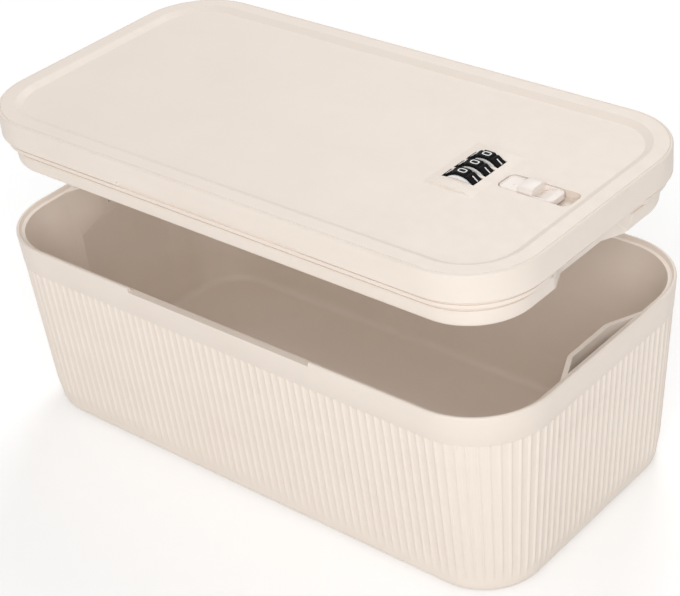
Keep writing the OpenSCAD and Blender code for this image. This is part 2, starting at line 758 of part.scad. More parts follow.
// Tab under the lid that pushes the axle and its sleeves along to set a new code
module reset_slider() {
    y0 = tab_a;
    groove = 0.4;
    color(grey) lift() difference() {
        union() {
            rod_y(lock_x, axis_z, ring_out_r, y0, y0 + tab_t);
            block([lock_x - tab_w / 2, y0, 0.2 - plug_h], [lock_x + tab_w / 2, y0 + tab_t, axis_z]);
            block([lock_x - tab_w / 2, y0, 0.2 - plug_h],
                [lock_x + tab_w / 2, y0 + tab_foot, 1.2 - plug_h + plate_t]);
        }
        rod_y(lock_x, axis_z, axle_r, y0 - over, y0 + tab_t + over);
        for (y = [y0 + 1.5 * groove, y0 + 4 * groove])
            block([lock_x - tab_w, y, -plug_h], [lock_x + tab_w, y + groove, 0.2 + groove - plug_h]);
    }
}

module slide_button() {
    top = panel_z - 0.2;
    low = button_floor + 0.1;
    cx = button_x + button_l / 2;
    grip = 6.6;
    grip_x = cx - 3.9;
    rise = 3.2;
    side = [0.1, 1.5, 3];
    shoulder = 0.8;
    hollow_r = 10;
    hollow_d = 1.5;
    half = button_w / 2;
    color(cream) lift() difference() {
        union() {
            translate([cx, 0, low]) round_plate(button_l - 2 * slide_gap, button_w, slot_r - 0.4, top - low);
            rotate([90, 0, 90]) translate([0, 0, grip_x]) linear_extrude(grip)
                polygon([[side[0] - half, top - 1], [side[1] - half, top + rise - shoulder],
                         [side[2] - half, top + rise], [half - side[2], top + rise],
                         [half - side[1], top + rise - shoulder], [half - side[0], top - 1]]);
            block([stem_x, -stem_w / 2, bolt_top], [stem_x + stem_l, stem_w / 2, low + eps]);
        }
        translate([grip_x + grip + 4.9, 0, top + hollow_r - hollow_d]) sphere(r = hollow_r);
        for (x = stem_screws)
            rod(x, 0, small_r + hole_play, bolt_top - over, bolt_top + stem_screw_l - bolt_t + 1.7);
    }
}

stem_screw_l = 7.5;
stem_head = [2, 0.9];

module button_screws() {
    color(steel) lift() for (x = stem_screws)
        screw(x, 0, bolt_z + stem_head[1] + 0.1, small_r, stem_screw_l, stem_head[0], stem_head[1]);
}

// Slot in a bolt for a pin of the rocker, long enough for the pin's arc
module pin_slot(x, side) {
    near = rocker_r * cos(half_turn);
    r = pin_r + 0.15;
    for (y = [near, rocker_r]) rod(x, side * y, r, bolt_z - over, bolt_top + over);
    translate([x - r, side > 0 ? near : -rocker_r, bolt_z - over])
        cube([2 * r, rocker_r - near, bolt_t + 2 * over]);
}

// Bolt that the button moves, with its tip at the lock end
module right_bolt() {
    color(steel) lift() difference() {
        translate([0, 0, bolt_z]) linear_extrude(bolt_t) bolt_plan(rocker_x);
        pin_slot(rocker_x - travel / 2, 1);
        for (x = stem_screws) {
            rod(x, 0, small_r + hole_play, bolt_z - over, bolt_top + over);
            rod(x, 0, stem_head[0] + 0.2, bolt_z - over, bolt_z + stem_head[1] + 0.1);
        }
        for (y = comb_y) rod(comb_x, y, comb_rivet[0] + 2 * eps, bolt_z - over, bolt_top + over);
        for (x = [0, travel])
            rod(click_mid - x, bolt_w / 2 + 0.4, click_r + 0.2, bolt_z - over, bolt_top + over);
    }
}

// Outline of a bolt with its arm beside the rocker at x, and its tip at the +X end
module bolt_plan(x) {
    arm_x = x - travel / 2 - arm[0];
    main_x = x + travel / 2 + arm[1];
    w = bolt_w / 2;
    polygon([[arm_x, arm[2]], [arm_x, arm[1]], [main_x - 2, arm[1]], [main_x, w], [bolt_end - tip_cut[0], w],
             [bolt_end, w - tip_cut[1]], [bolt_end, tip_cut[1] - w], [bolt_end - tip_cut[0], -w],
             [main_x, -w], [main_x, arm[2]]]);
}

arm = [4.5, 12, 4];
comb_y = [-9, 0.4];
comb_rivet = [1.08, 1.7, 0.4];
comb_t = 1;
comb_half = 3;
comb_over = 1.5;

// Comb whose fingers pass under the gate discs only when every flat points down
module fence_comb() {
    color(steel) lift() difference() {
        union() {
            block([comb_x - comb_half, -wheel_pitch + finger_a - comb_over, bolt_top],
                [comb_x + comb_half, wheel_pitch + finger_a + finger_w + comb_over, bolt_top + comb_t]);
            for (u = units)
                block([comb_x - comb_over / 2, u * wheel_pitch + finger_a, bolt_top],
                    [comb_x + comb_over / 2, u * wheel_pitch + finger_a + finger_w, finger_top]);
        }
        for (y = comb_y) rod(comb_x, y, comb_rivet[0] + 2 * eps, bolt_z, bolt_top + comb_t + over);
    }
}

module comb_rivets() {
    color(brass) lift() for (y = comb_y) {
        rod(comb_x, y, comb_rivet[0], bolt_z, bolt_top + comb_t + 0.2);
        rod(comb_x, y, comb_rivet[1], bolt_top + comb_t, bolt_top + comb_t + comb_rivet[2]);
    }
}

// Bolt that the rocker moves the other way, with its tip at the left end
module left_bolt() {
    color(steel) lift() difference() {
        translate([0, 0, bolt_z]) linear_extrude(bolt_t) rotate(180) bolt_plan(-rocker_x);
        pin_slot(rocker_x + travel / 2, -1);
    }
}

rocker_t = 2;
rocker_z = bolt_top + 0.3;
rocker_hub_r = 4.6;
rocker_half = 2.8;
pivot_head = [3.4, 0.8];

module rocker_link() {
    color(brass) lift() translate([rocker_x, 0, 0]) rotate(half_turn) difference() {
        union() {
            rod(0, 0, rocker_hub_r, rocker_z, rocker_z + rocker_t);
            block([-rocker_half, -rocker_r, rocker_z], [rocker_half, rocker_r, rocker_z + rocker_t]);
            for (y = [-rocker_r, rocker_r]) {
                rod(0, y, rocker_half, rocker_z, rocker_z + rocker_t);
                rod(0, y, pin_r, bolt_z + 0.2, rocker_z + eps);
            }
        }
        rod(0, 0, pivot_r + fit, rocker_z - over, rocker_z + rocker_t + over);
    }
}

module rocker_pivot() {
    color(steel) lift() {
        rod(rocker_x, 0, pivot_r, pivot_z, rocker_z + rocker_t + 0.3);
        rod(rocker_x, 0, pivot_head[0], rocker_z + rocker_t + 0.2, rocker_z + rocker_t + 0.2 + pivot_head[1]);
    }
}

// Bridge that holds a bolt down on the tray's floor
module bolt_guide(x) {
    leg = bolt_w / 2 + guide_leg;
    color(cream_dark) lift() difference() {
        block([x - guide_half, -leg - guide_foot, tray_z], [x + guide_half, leg + guide_foot, guide_top]);
        block([x - guide_half - over, -leg, tray_z - over], [x + guide_half + over, leg, bolt_top + slide_gap]);
        for (s = [-1, 1]) rod(x, s * guide_y, small_r + hole_play, tray_z - over, guide_top + over);
    }
}

guide_top = bolt_top + slide_gap + guide_t;
guide_head = [2, 1];

module guide_screws() {
    color(steel) lift() for (x = guide_x, s = [-1, 1])
        translate([x, s * guide_y, guide_top]) rotate([180, 0, 0])
            screw(0, 0, 0, small_r, guide_top - small_z - 0.4, guide_head[0], guide_head[1]);
}

click_in = 11.55;
click_span = [8, 7];
click_mid = bolt_end - click_in;
click_x = [click_mid - click_span[0], click_mid + click_span[1]];
click_y = bolt_w / 2 + 3.6;
click_r = 1;
click_foot = 1.8;
click_leaf = 0.4;
click_head = [1.8, 0.9];

// Leaf that clicks into a notch of the bolt at each end of its travel
module click_spring() {
    color(steel) lift() difference() {
        union() {
            for (x = click_x)
                block([x - click_foot, click_y - click_foot, tray_z],
                    [x + click_foot, click_y + click_foot, bolt_top]);
            block([click_x[0], click_y - click_foot, bolt_z],
                [click_x[1], click_y - click_foot + click_leaf, bolt_top]);
            rod(click_mid, bolt_w / 2 + 1.2, click_r, bolt_z, bolt_top);
        }
        for (x = click_x) rod(x, click_y, small_r + hole_play, tray_z - over, bolt_top + over);
    }
}

module click_screws() {
    color(steel) lift() for (x = click_x)
        translate([x, click_y, bolt_top]) rotate([180, 0, 0])
            screw(0, 0, 0, small_r, bolt_top - small_z - 0.6, click_head[0], click_head[1]);
}

box_body();
lid_cover();
lid_tray();
lid_screws();
lock_access_plate();
access_screws();
lock_housing();
housing_screws();
number_wheel(-1);  // number_wheel_1
number_wheel(0);  // number_wheel_2
number_wheel(1);  // number_wheel_3
code_sleeve(-1);  // code_sleeve_1
code_sleeve(0);  // code_sleeve_2
code_sleeve(1);  // code_sleeve_3
spacer_washers();
wheel_axle();
axle_clips();
sleeve_spring();
detent_spring();
detent_rivets();
reset_slider();
slide_button();
button_screws();
right_bolt();
fence_comb();
comb_rivets();
left_bolt();
rocker_link();
rocker_pivot();
bolt_guide(guide_x[0]);  // bolt_guide_1
bolt_guide(guide_x[1]);  // bolt_guide_2
bolt_guide(guide_x[2]);  // bolt_guide_3
guide_screws();
click_spring();
click_screws();
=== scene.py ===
"""Looks for the ribbed storage box whose lid carries a combination lock and a slide latch.

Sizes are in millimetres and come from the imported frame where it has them. The last step of each
piece turns its mesh to metres. +X is the lock end, -Y the front and +Z up, as in the frame.
"""

import json
import logging
import math
from dataclasses import dataclass
from enum import Enum
from typing import Callable, Iterable, Sequence

import bmesh
import bpy
from mathutils import Matrix, Vector


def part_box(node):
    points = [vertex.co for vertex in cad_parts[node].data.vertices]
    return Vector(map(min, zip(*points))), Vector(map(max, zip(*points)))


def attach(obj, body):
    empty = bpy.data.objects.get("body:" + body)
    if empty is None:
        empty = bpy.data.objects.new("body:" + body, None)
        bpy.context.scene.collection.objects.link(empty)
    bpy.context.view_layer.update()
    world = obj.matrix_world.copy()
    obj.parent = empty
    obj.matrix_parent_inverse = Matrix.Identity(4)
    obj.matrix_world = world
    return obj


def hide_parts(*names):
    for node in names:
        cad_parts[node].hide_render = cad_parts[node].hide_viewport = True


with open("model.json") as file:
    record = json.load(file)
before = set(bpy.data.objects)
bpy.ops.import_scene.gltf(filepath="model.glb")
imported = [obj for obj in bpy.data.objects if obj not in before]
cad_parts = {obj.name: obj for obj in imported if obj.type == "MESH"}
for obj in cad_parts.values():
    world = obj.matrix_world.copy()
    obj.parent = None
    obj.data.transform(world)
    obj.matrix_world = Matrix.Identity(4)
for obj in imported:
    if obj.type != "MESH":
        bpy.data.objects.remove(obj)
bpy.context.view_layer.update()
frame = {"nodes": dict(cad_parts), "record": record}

BMesh = bmesh.types.BMesh
Material = bpy.types.Material
Object = bpy.types.Object
Socket = bpy.types.NodeSocket
Pair = tuple[float, float]
Trio = tuple[float, float, float]

# A millimetre in metres
MM = 0.001
# Height that an overhang hides from the photograph's viewpoint, for each millimetre that it stands out
VIEW_DROP = 0.85
# Shift of the slide along X from its place in the frame, in millimetres
BUTTON_SHIFT = -1.2
# Pitch and width of the number wheels as a share of the frame's
WHEEL_PITCH_SHARE = 0.957
LOG = logging.getLogger("lock_box")


class Carving(Enum):
    """How a tool changes the piece that it is applied to."""

    CUT = "DIFFERENCE"
    JOIN = "UNION"


class Ends(Enum):
    """How the first and last rings of a stack are closed."""

    CAPPED = "capped"
    JOINED = "joined"


@dataclass(frozen=True)
class Extent:
    """Lowest and highest corners of a frame node, in millimetres."""

    low: Vector
    high: Vector

    @classmethod
    def of(cls, node: str) -> "Extent":
        """Measures a node of the frame.

        Args:
            node: The node's name.

        Returns:
            Its corners.
        """
        low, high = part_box(node)
        return cls(low / MM, high / MM)

    @property
    def size(self) -> Vector:
        """Length along each axis."""
        return self.high - self.low

    @property
    def middle(self) -> Vector:
        """Centre of the extent."""
        return (self.high + self.low) / 2


@dataclass(frozen=True)
class Level:
    """One ring of a stacked wall.

    Attributes:
        inset: How far the ring lies inside the plan's edge.
        height: Its height.
        rib: Share of the full rib height.
    """

    inset: float
    height: float
    rib: float = 0.0


@dataclass(frozen=True)
class Plan:
    """Rounded rectangle seen from above, whose edge is measured in ribs.

    Attributes:
        width: Length along X.
        depth: Length along Y.
        radius: Corner radius.
        long_ribs: Ribs along a long side.
        deep_ribs: Ribs along a short side.
        corner_ribs: Ribs round a corner.
    """

    width: float
    depth: float
    radius: float
    long_ribs: int = 52
    deep_ribs: int = 20
    corner_ribs: int = 12

    @property
    def ribs(self) -> int:
        """Ribs all the way round."""
        return 2 * (self.long_ribs + self.deep_ribs) + 4 * self.corner_ribs

    def spot(self, along: float, inset: float) -> Pair:
        """Finds a place on the edge, or inside it.

        Args:
            along: Distance along the edge in ribs, from the left end of the front.
            inset: How far inside the edge the place lies.

        Returns:
            Its X and Y.
        """
        mid_x = self.width / 2 - self.radius
        mid_y = self.depth / 2 - self.radius
        corners = ((-1, -1), (1, -1), (1, 1), (-1, 1))
        left = along % self.ribs
        for quarter in range(4):
            here = corners[quarter]
            there = corners[(quarter + 1) % 4]
            turn = math.radians(90 * quarter - 90)
            side = (self.long_ribs, self.deep_ribs)[quarter % 2]
            if left < side:
                share = left / side
                centre = (mid_x * (here[0] * (1 - share) + there[0] * share),
                          mid_y * (here[1] * (1 - share) + there[1] * share))
                break
            left -= side
            if left < self.corner_ribs:
                centre = (mid_x * there[0], mid_y * there[1])
                turn += math.pi / 2 * left / self.corner_ribs
                break
            left -= self.corner_ribs
        reach = self.radius - inset
        return centre[0] + reach * math.cos(turn), centre[1] + reach * math.sin(turn)


def rounding(start: Pair, end: Pair, bulge: bool, steps: int = 4) -> list[Level]:
    """Makes the levels of a quarter-round edge.

    Args:
        start: Inset and height where the round begins.
        end: Inset and height where it ends.
        bulge: True where the round leaves its start along the height first.
        steps: Number of rings after the first.

    Returns:
        The levels, both ends included.
    """
    levels = []
    for step in range(steps + 1):
        turn = math.pi / 2 * step / steps
        rise = math.sin(turn) if bulge else 1 - math.cos(turn)
        run = 1 - math.cos(turn) if bulge else math.sin(turn)
        levels.append(Level(start[0] + (end[0] - start[0]) * run, start[1] + (end[1] - start[1]) * rise))
    return levels


def stack_rings(count: int, levels: Sequence, place: Callable[[int, object], Vector], ends: Ends) -> BMesh:
    """Extrudes a ring of vertices through a list of levels.

    Args:
        count: Vertices in each ring.
        levels: What place needs for each ring, in order.
        place: Gives the position of a ring's vertex from its number and its level.
        ends: Whether the stack is capped, or closed on itself.

    Returns:
        The closed mesh, with its faces pointing out.
    """
    bm = bmesh.new()
    number = bm.verts.layers.int.new("number")
    first = bmesh.ops.create_circle(bm, segments=count, radius=1.0)["verts"]
    for index, vert in enumerate(first):
        vert[number] = index
        vert.co = place(index, levels[0])
    ring = list(bm.edges)
    first_ring = ring
    if ends is Ends.CAPPED:
        bmesh.ops.edgeloop_fill(bm, edges=ring)
    for level in levels[1:]:
        grown = bmesh.ops.extrude_edge_only(bm, edges=ring)["geom"]
        verts = {item for item in grown if isinstance(item, bmesh.types.BMVert)}
        ring = [item for item in grown if isinstance(item, bmesh.types.BMEdge) and set(item.verts) <= verts]
        for vert in verts:
            vert.co = place(vert[number], level)
    if ends is Ends.CAPPED:
        bmesh.ops.edgeloop_fill(bm, edges=ring)
    else:
        bmesh.ops.bridge_loops(bm, edges=first_ring + ring)
    bmesh.ops.recalc_face_normals(bm, faces=bm.faces)
    return bm


def walled(plan: Plan, levels: Sequence[Level]) -> BMesh:
    """Stacks plain rings of a plan into a closed body.

    Args:
        plan: The outline.
        levels: The rings, in order.

    Returns:
        The mesh.
    """
    per_rib = 2

    def place(index: int, level: Level) -> Vector:
        """Puts one vertex on its ring."""
        return Vector((*plan.spot(index / per_rib, level.inset), level.height))

    return stack_rings(plan.ribs * per_rib, levels, place, Ends.CAPPED)


def bevel(bm: BMesh, edges: list[bmesh.types.BMEdge], offset: float, segments: int) -> None:
    """Rounds some edges of a mesh.

    Args:
        bm: The mesh.
        edges: The edges.
        offset: Radius of the rounding.
        segments: Facets of the rounding.
    """
    bmesh.ops.bevel(bm, geom=edges, offset=offset, offset_type="OFFSET", segments=segments, profile=0.5,
                    affect="EDGES", material=-1)


def slab(low: Sequence[float], high: Sequence[float], round_upright: float = 0.0, segments: int = 4) -> BMesh:
    """Makes a block with rounded upright edges.

    Args:
        low: Lowest corner.
        high: Highest corner.
        round_upright: Radius of the upright edges.
        segments: Facets of that radius.

    Returns:
        The mesh.
    """
    bm = bmesh.new()
    bmesh.ops.create_cube(bm, size=1.0)
    middle = (Vector(low) + Vector(high)) / 2
    bmesh.ops.scale(bm, vec=Vector(high) - Vector(low), verts=bm.verts)
    bmesh.ops.translate(bm, vec=middle, verts=bm.verts)
    if round_upright:
        upright = [e for e in bm.edges if abs((e.verts[0].co - e.verts[1].co).normalized().z) > 0.99]
        bevel(bm, upright, round_upright, segments)
    return bm


def drum(start: Sequence[float], end: Sequence[float], radius: float, segments: int = 48) -> BMesh:
    """Makes a round bar between two points.

    Args:
        start: Centre of one end.
        end: Centre of the other end.
        radius: Its radius.
        segments: Facets round it.

    Returns:
        The mesh.
    """
    bm = bmesh.new()
    run = Vector(end) - Vector(start)
    turn = Vector((0, 0, 1)).rotation_difference(run).to_matrix().to_4x4()
    place = Matrix.Translation((Vector(start) + Vector(end)) / 2) @ turn
    bmesh.ops.create_cone(bm, cap_ends=True, segments=segments, radius1=radius, radius2=radius,
                          depth=run.length, matrix=place)
    return bm


def prism(points: Iterable[Pair], bottom: float, top: float) -> BMesh:
    """Raises a flat outline into a block.

    Args:
        points: The outline's corners as X and Y.
        bottom: Height of its lower face.
        top: Height of its upper face.

    Returns:
        The mesh.
    """
    bm = bmesh.new()
    corners = [bm.verts.new((x, y, bottom)) for x, y in points]
    face = bm.faces.new(corners)
    raised = bmesh.ops.extrude_face_region(bm, geom=[face])["geom"]
    verts = [item for item in raised if isinstance(item, bmesh.types.BMVert)]
    bmesh.ops.translate(bm, vec=(0, 0, top - bottom), verts=verts)
    bmesh.ops.recalc_face_normals(bm, faces=bm.faces)
    return bm


def gathered(parts: Iterable[BMesh]) -> BMesh:
    """Puts several meshes that don't touch into one, and frees them."""
    whole = bmesh.new()
    for part in parts:
        mesh = bpy.data.meshes.new("part")
        part.to_mesh(mesh)
        part.free()
        whole.from_mesh(mesh)
        bpy.data.meshes.remove(mesh)
    return whole


def add_object(name: str, data: bpy.types.ID) -> Object:
    """Adds an object to the scene.

    Args:
        name: The object's name.
        data: Its mesh, curve, lamp or camera.

    Returns:
        The object.
    """
    obj = bpy.data.objects.new(name, data)
    bpy.context.scene.collection.objects.link(obj)
    return obj


def new_object(name: str, bm: BMesh) -> Object:
    """Turns a mesh into an object of the scene and frees it.

    Args:
        name: The object's name.
        bm: Its mesh, in millimetres.

    Returns:
        The object.
    """
    mesh = bpy.data.meshes.new(name)
    bm.to_mesh(mesh)
    bm.free()
    return add_object(name, mesh)


def finished_mesh(obj: Object) -> bpy.types.Mesh:
    """Makes a mesh of an object as its modifiers or its curve leave it."""
    return bpy.data.meshes.new_from_object(obj.evaluated_get(bpy.context.evaluated_depsgraph_get()))


def settle_modifiers(obj: Object) -> None:
    """Replaces an object's mesh by its finished one, and clears its modifiers."""
    finished = finished_mesh(obj)
    obj.modifiers.clear()
    plain = obj.data
    obj.data = finished
    bpy.data.meshes.remove(plain)


def carve(obj: Object, *tools: BMesh, how: Carving = Carving.CUT) -> None:
    """Cuts tools out of an object one after the other, or joins them on.

    Args:
        obj: The object, in millimetres.
        tools: The tools' meshes, which are freed.
        how: Whether they are cut or joined.
    """
    for tool in tools:
        tool_object = new_object("tool", tool)
        step = obj.modifiers.new("carve", "BOOLEAN")
        step.operation = how.value
        step.solver = "EXACT"
        step.object = tool_object
        settle_modifiers(obj)
        mesh = tool_object.data
        bpy.data.objects.remove(tool_object)
        bpy.data.meshes.remove(mesh)


def soften(obj: Object, width: float) -> None:
    """Rounds an object's sharp edges a little.

    Args:
        obj: The object, in millimetres.
        width: Width of the rounding.
    """
    step = obj.modifiers.new("soften", "BEVEL")
    step.width = width
    step.segments = 2
    step.limit_method = "ANGLE"
    step.angle_limit = math.radians(50)
    step.use_clamp_overlap = True
    step.harden_normals = False
    settle_modifiers(obj)


def deliver(obj: Object, body: str, material: Material,
            stands_for: Sequence[str] = (), crease: float = 35.0, weighted: bool = False) -> None:
    """Scales a piece to metres, shades and dresses it, and fixes it to its body.

    Args:
        obj: The piece, in millimetres.
        body: The body that it rides on.
        material: Its finish.
        stands_for: Nodes of the frame that it replaces.
        crease: Angle between faces, in degrees, above which an edge stays sharp.
        weighted: True where large flat faces keep their shading flat beside small ones.
    """
    mesh = obj.data
    mesh.transform(Matrix.Scale(MM, 4))
    for face in mesh.polygons:
        face.use_smooth = True
    mesh.set_sharp_from_angle(angle=math.radians(crease))
    if weighted:
        step = obj.modifiers.new("weighted", "WEIGHTED_NORMAL")
        step.weight = 100
        step.keep_sharp = True
        settle_modifiers(obj)
        mesh = obj.data
    mesh.materials.clear()
    mesh.materials.append(material)
    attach(obj, body)
    if stands_for:
        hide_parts(*stands_for)
    LOG.info("%s: %d faces on %s", obj.name, len(mesh.polygons), body)


def direct_view(tree: bpy.types.NodeTree) -> Socket:
    """Adds a value that is 1 for rays from the camera, straight or by gloss or glass, and else 0.

    Args:
        tree: The nodes of a material or world.

    Returns:
        The value.
    """
    seen = tree.nodes.new("ShaderNodeLightPath")
    value = seen.outputs["Is Camera Ray"]
    for kind in ("Is Glossy Ray", "Is Transmission Ray"):
        either = tree.nodes.new("ShaderNodeMath")
        either.operation = "MAXIMUM"
        tree.links.new(value, either.inputs[0])
        tree.links.new(seen.outputs[kind], either.inputs[1])
        value = either.outputs["Value"]
    return value


class Graph:
    """A material's nodes, with short ways to add and join them."""

    def __init__(self, name: str) -> None:
        """Starts a material that holds only its shader and output."""
        self.material = bpy.data.materials.new(name)
        self.material.use_nodes = True
        self.tree = self.material.node_tree
        self.shader = next(n for n in self.tree.nodes if n.type == "BSDF_PRINCIPLED")
        self.place = self.add("ShaderNodeTexCoord").outputs["Object"]

    def add(self, kind: str, **settings: object) -> bpy.types.Node:
        """Adds a node and sets its properties."""
        node = self.tree.nodes.new(kind)
        for key, value in settings.items():
            setattr(node, key, value)
        return node

    def link(self, source: Socket, target: Socket) -> None:
        """Joins an output to an input."""
        self.tree.links.new(source, target)

    def feed(self, name: str, source: Socket) -> None:
        """Joins an output to one of the shader's inputs."""
        self.link(source, self.shader.inputs[name])

    def noise(self, size_mm: float, detail: float, stretch: Trio = (1, 1, 1)) -> Socket:
        """Adds soft noise on the object's own coordinates.

        Args:
            size_mm: Size of a patch.
            detail: Number of finer layers.
            stretch: How much closer the patches lie along each axis.

        Returns:
            The noise's value.
        """
        mapping = self.add("ShaderNodeMapping")
        mapping.inputs["Scale"].default_value = stretch
        self.link(self.place, mapping.inputs["Vector"])
        noise = self.add("ShaderNodeTexNoise")
        noise.inputs["Scale"].default_value = 1 / (size_mm * MM)
        noise.inputs["Detail"].default_value = detail
        self.link(mapping.outputs["Vector"], noise.inputs["Vector"])
        return noise.outputs["Fac"]

    def spread(self, value: Socket, low: float, high: float) -> Socket:
        """Maps the middle of a noise onto a range of numbers."""
        node = self.add("ShaderNodeMapRange")
        node.inputs["From Min"].default_value = 0.3
        node.inputs["From Max"].default_value = 0.7
        node.inputs["To Min"].default_value = low
        node.inputs["To Max"].default_value = high
        self.link(value, node.inputs["Value"])
        return node.outputs["Result"]

    def blend(self, share: Socket, first: Sequence[float], second: Sequence[float]) -> Socket:
        """Mixes two colours by a share."""
        node = self.add("ShaderNodeMix", data_type="RGBA")
        self.link(share, node.inputs["Factor"])
        node.inputs["A"].default_value = (*first, 1)
        node.inputs["B"].default_value = (*second, 1)
        return next(s for s in node.outputs if s.type == "RGBA")

    def bump(self, height: Socket, depth_mm: float, strength: float = 1.0) -> None:
        """Gives the shader a fine relief of a real depth."""
        node = self.add("ShaderNodeBump")
        node.inputs["Distance"].default_value = depth_mm * MM
        node.inputs["Strength"].default_value = strength
        self.link(height, node.inputs["Height"])
        self.feed("Normal", node.outputs["Normal"])


@dataclass(frozen=True)
class MouldedPlastic:
    """Moulded plastic with faint flow marks and a fine spark-eroded texture.

    Attributes:
        name: The material's name.
        colour: Its linear colour.
        roughness: Middle roughness.
        mottle: Share by which the colour varies.
        grain: Size of the texture in millimetres.
        relief: Depth of the texture in millimetres.
        specular: Specular level.
    """

    name: str
    colour: Trio
    roughness: float
    mottle: float = 0.02
    grain: float = 0.45
    relief: float = 0.012
    specular: float = 0.45

    def material(self) -> Material:
        """Builds the material's nodes."""
        graph = Graph(self.name)
        flow = graph.spread(graph.noise(38, 2.0, (1, 1, 2.5)), 0, 1)
        light = [c * (1 + self.mottle) for c in self.colour]
        dark = [c * (1 - self.mottle * (1 + 0.6 * i)) for i, c in enumerate(self.colour)]
        graph.feed("Base Color", graph.blend(flow, dark, light))
        patches = graph.noise(6, 4.0)
        graph.feed("Roughness", graph.spread(patches, self.roughness - 0.05, self.roughness + 0.05))
        graph.shader.inputs["Specular IOR Level"].default_value = self.specular
        graph.bump(graph.noise(self.grain, 2.0), self.relief)
        return graph.material


@dataclass(frozen=True)
class WorkedMetal:
    """Plated or turned metal with fine marks along one way.

    Attributes:
        name: The material's name.
        colour: Its linear colour.
        roughness: Middle roughness.
        marks: How much closer the marks lie along each axis.
    """

    name: str
    colour: Trio
    roughness: float
    marks: Trio = (1.0, 12.0, 12.0)

    def material(self) -> Material:
        """Builds the material's nodes."""
        graph = Graph(self.name)
        tarnish = graph.spread(graph.noise(5, 4.0), 0, 1)
        dull = [c * 0.82 for c in self.colour]
        graph.feed("Base Color", graph.blend(tarnish, dull, self.colour))
        graph.shader.inputs["Metallic"].default_value = 1.0
        lines = graph.noise(1.6, 3.0, self.marks)
        graph.feed("Roughness", graph.spread(lines, self.roughness - 0.08, self.roughness + 0.1))
        graph.bump(lines, 0.01, 0.6)
        return graph.material


CREAM = MouldedPlastic("cream_plastic", (0.835, 0.745, 0.665), 0.48, 0.01)
CREAM_INSIDE = MouldedPlastic("cream_plastic_inner", (0.84, 0.735, 0.635), 0.5, 0.02)
BUTTON_CREAM = MouldedPlastic("button_plastic", (0.86, 0.785, 0.73), 0.4, 0.012, 0.3, 0.006)
WHEEL_BLACK = MouldedPlastic("wheel_plastic", (0.006, 0.006, 0.007), 0.55, 0.2, 0.3, 0.006, 0.06)
DIGIT_WHITE = MouldedPlastic("digit_paint", (0.86, 0.86, 0.85), 0.45, 0.02, 0.2, 0.006)
LOCK_GREY = MouldedPlastic("lock_frame_plastic", (0.09, 0.09, 0.1), 0.5, 0.08)
STEEL = WorkedMetal("plated_steel", (0.56, 0.57, 0.59), 0.34)
BRASS = WorkedMetal("turned_brass", (0.72, 0.53, 0.24), 0.3, (12.0, 1.0, 12.0))


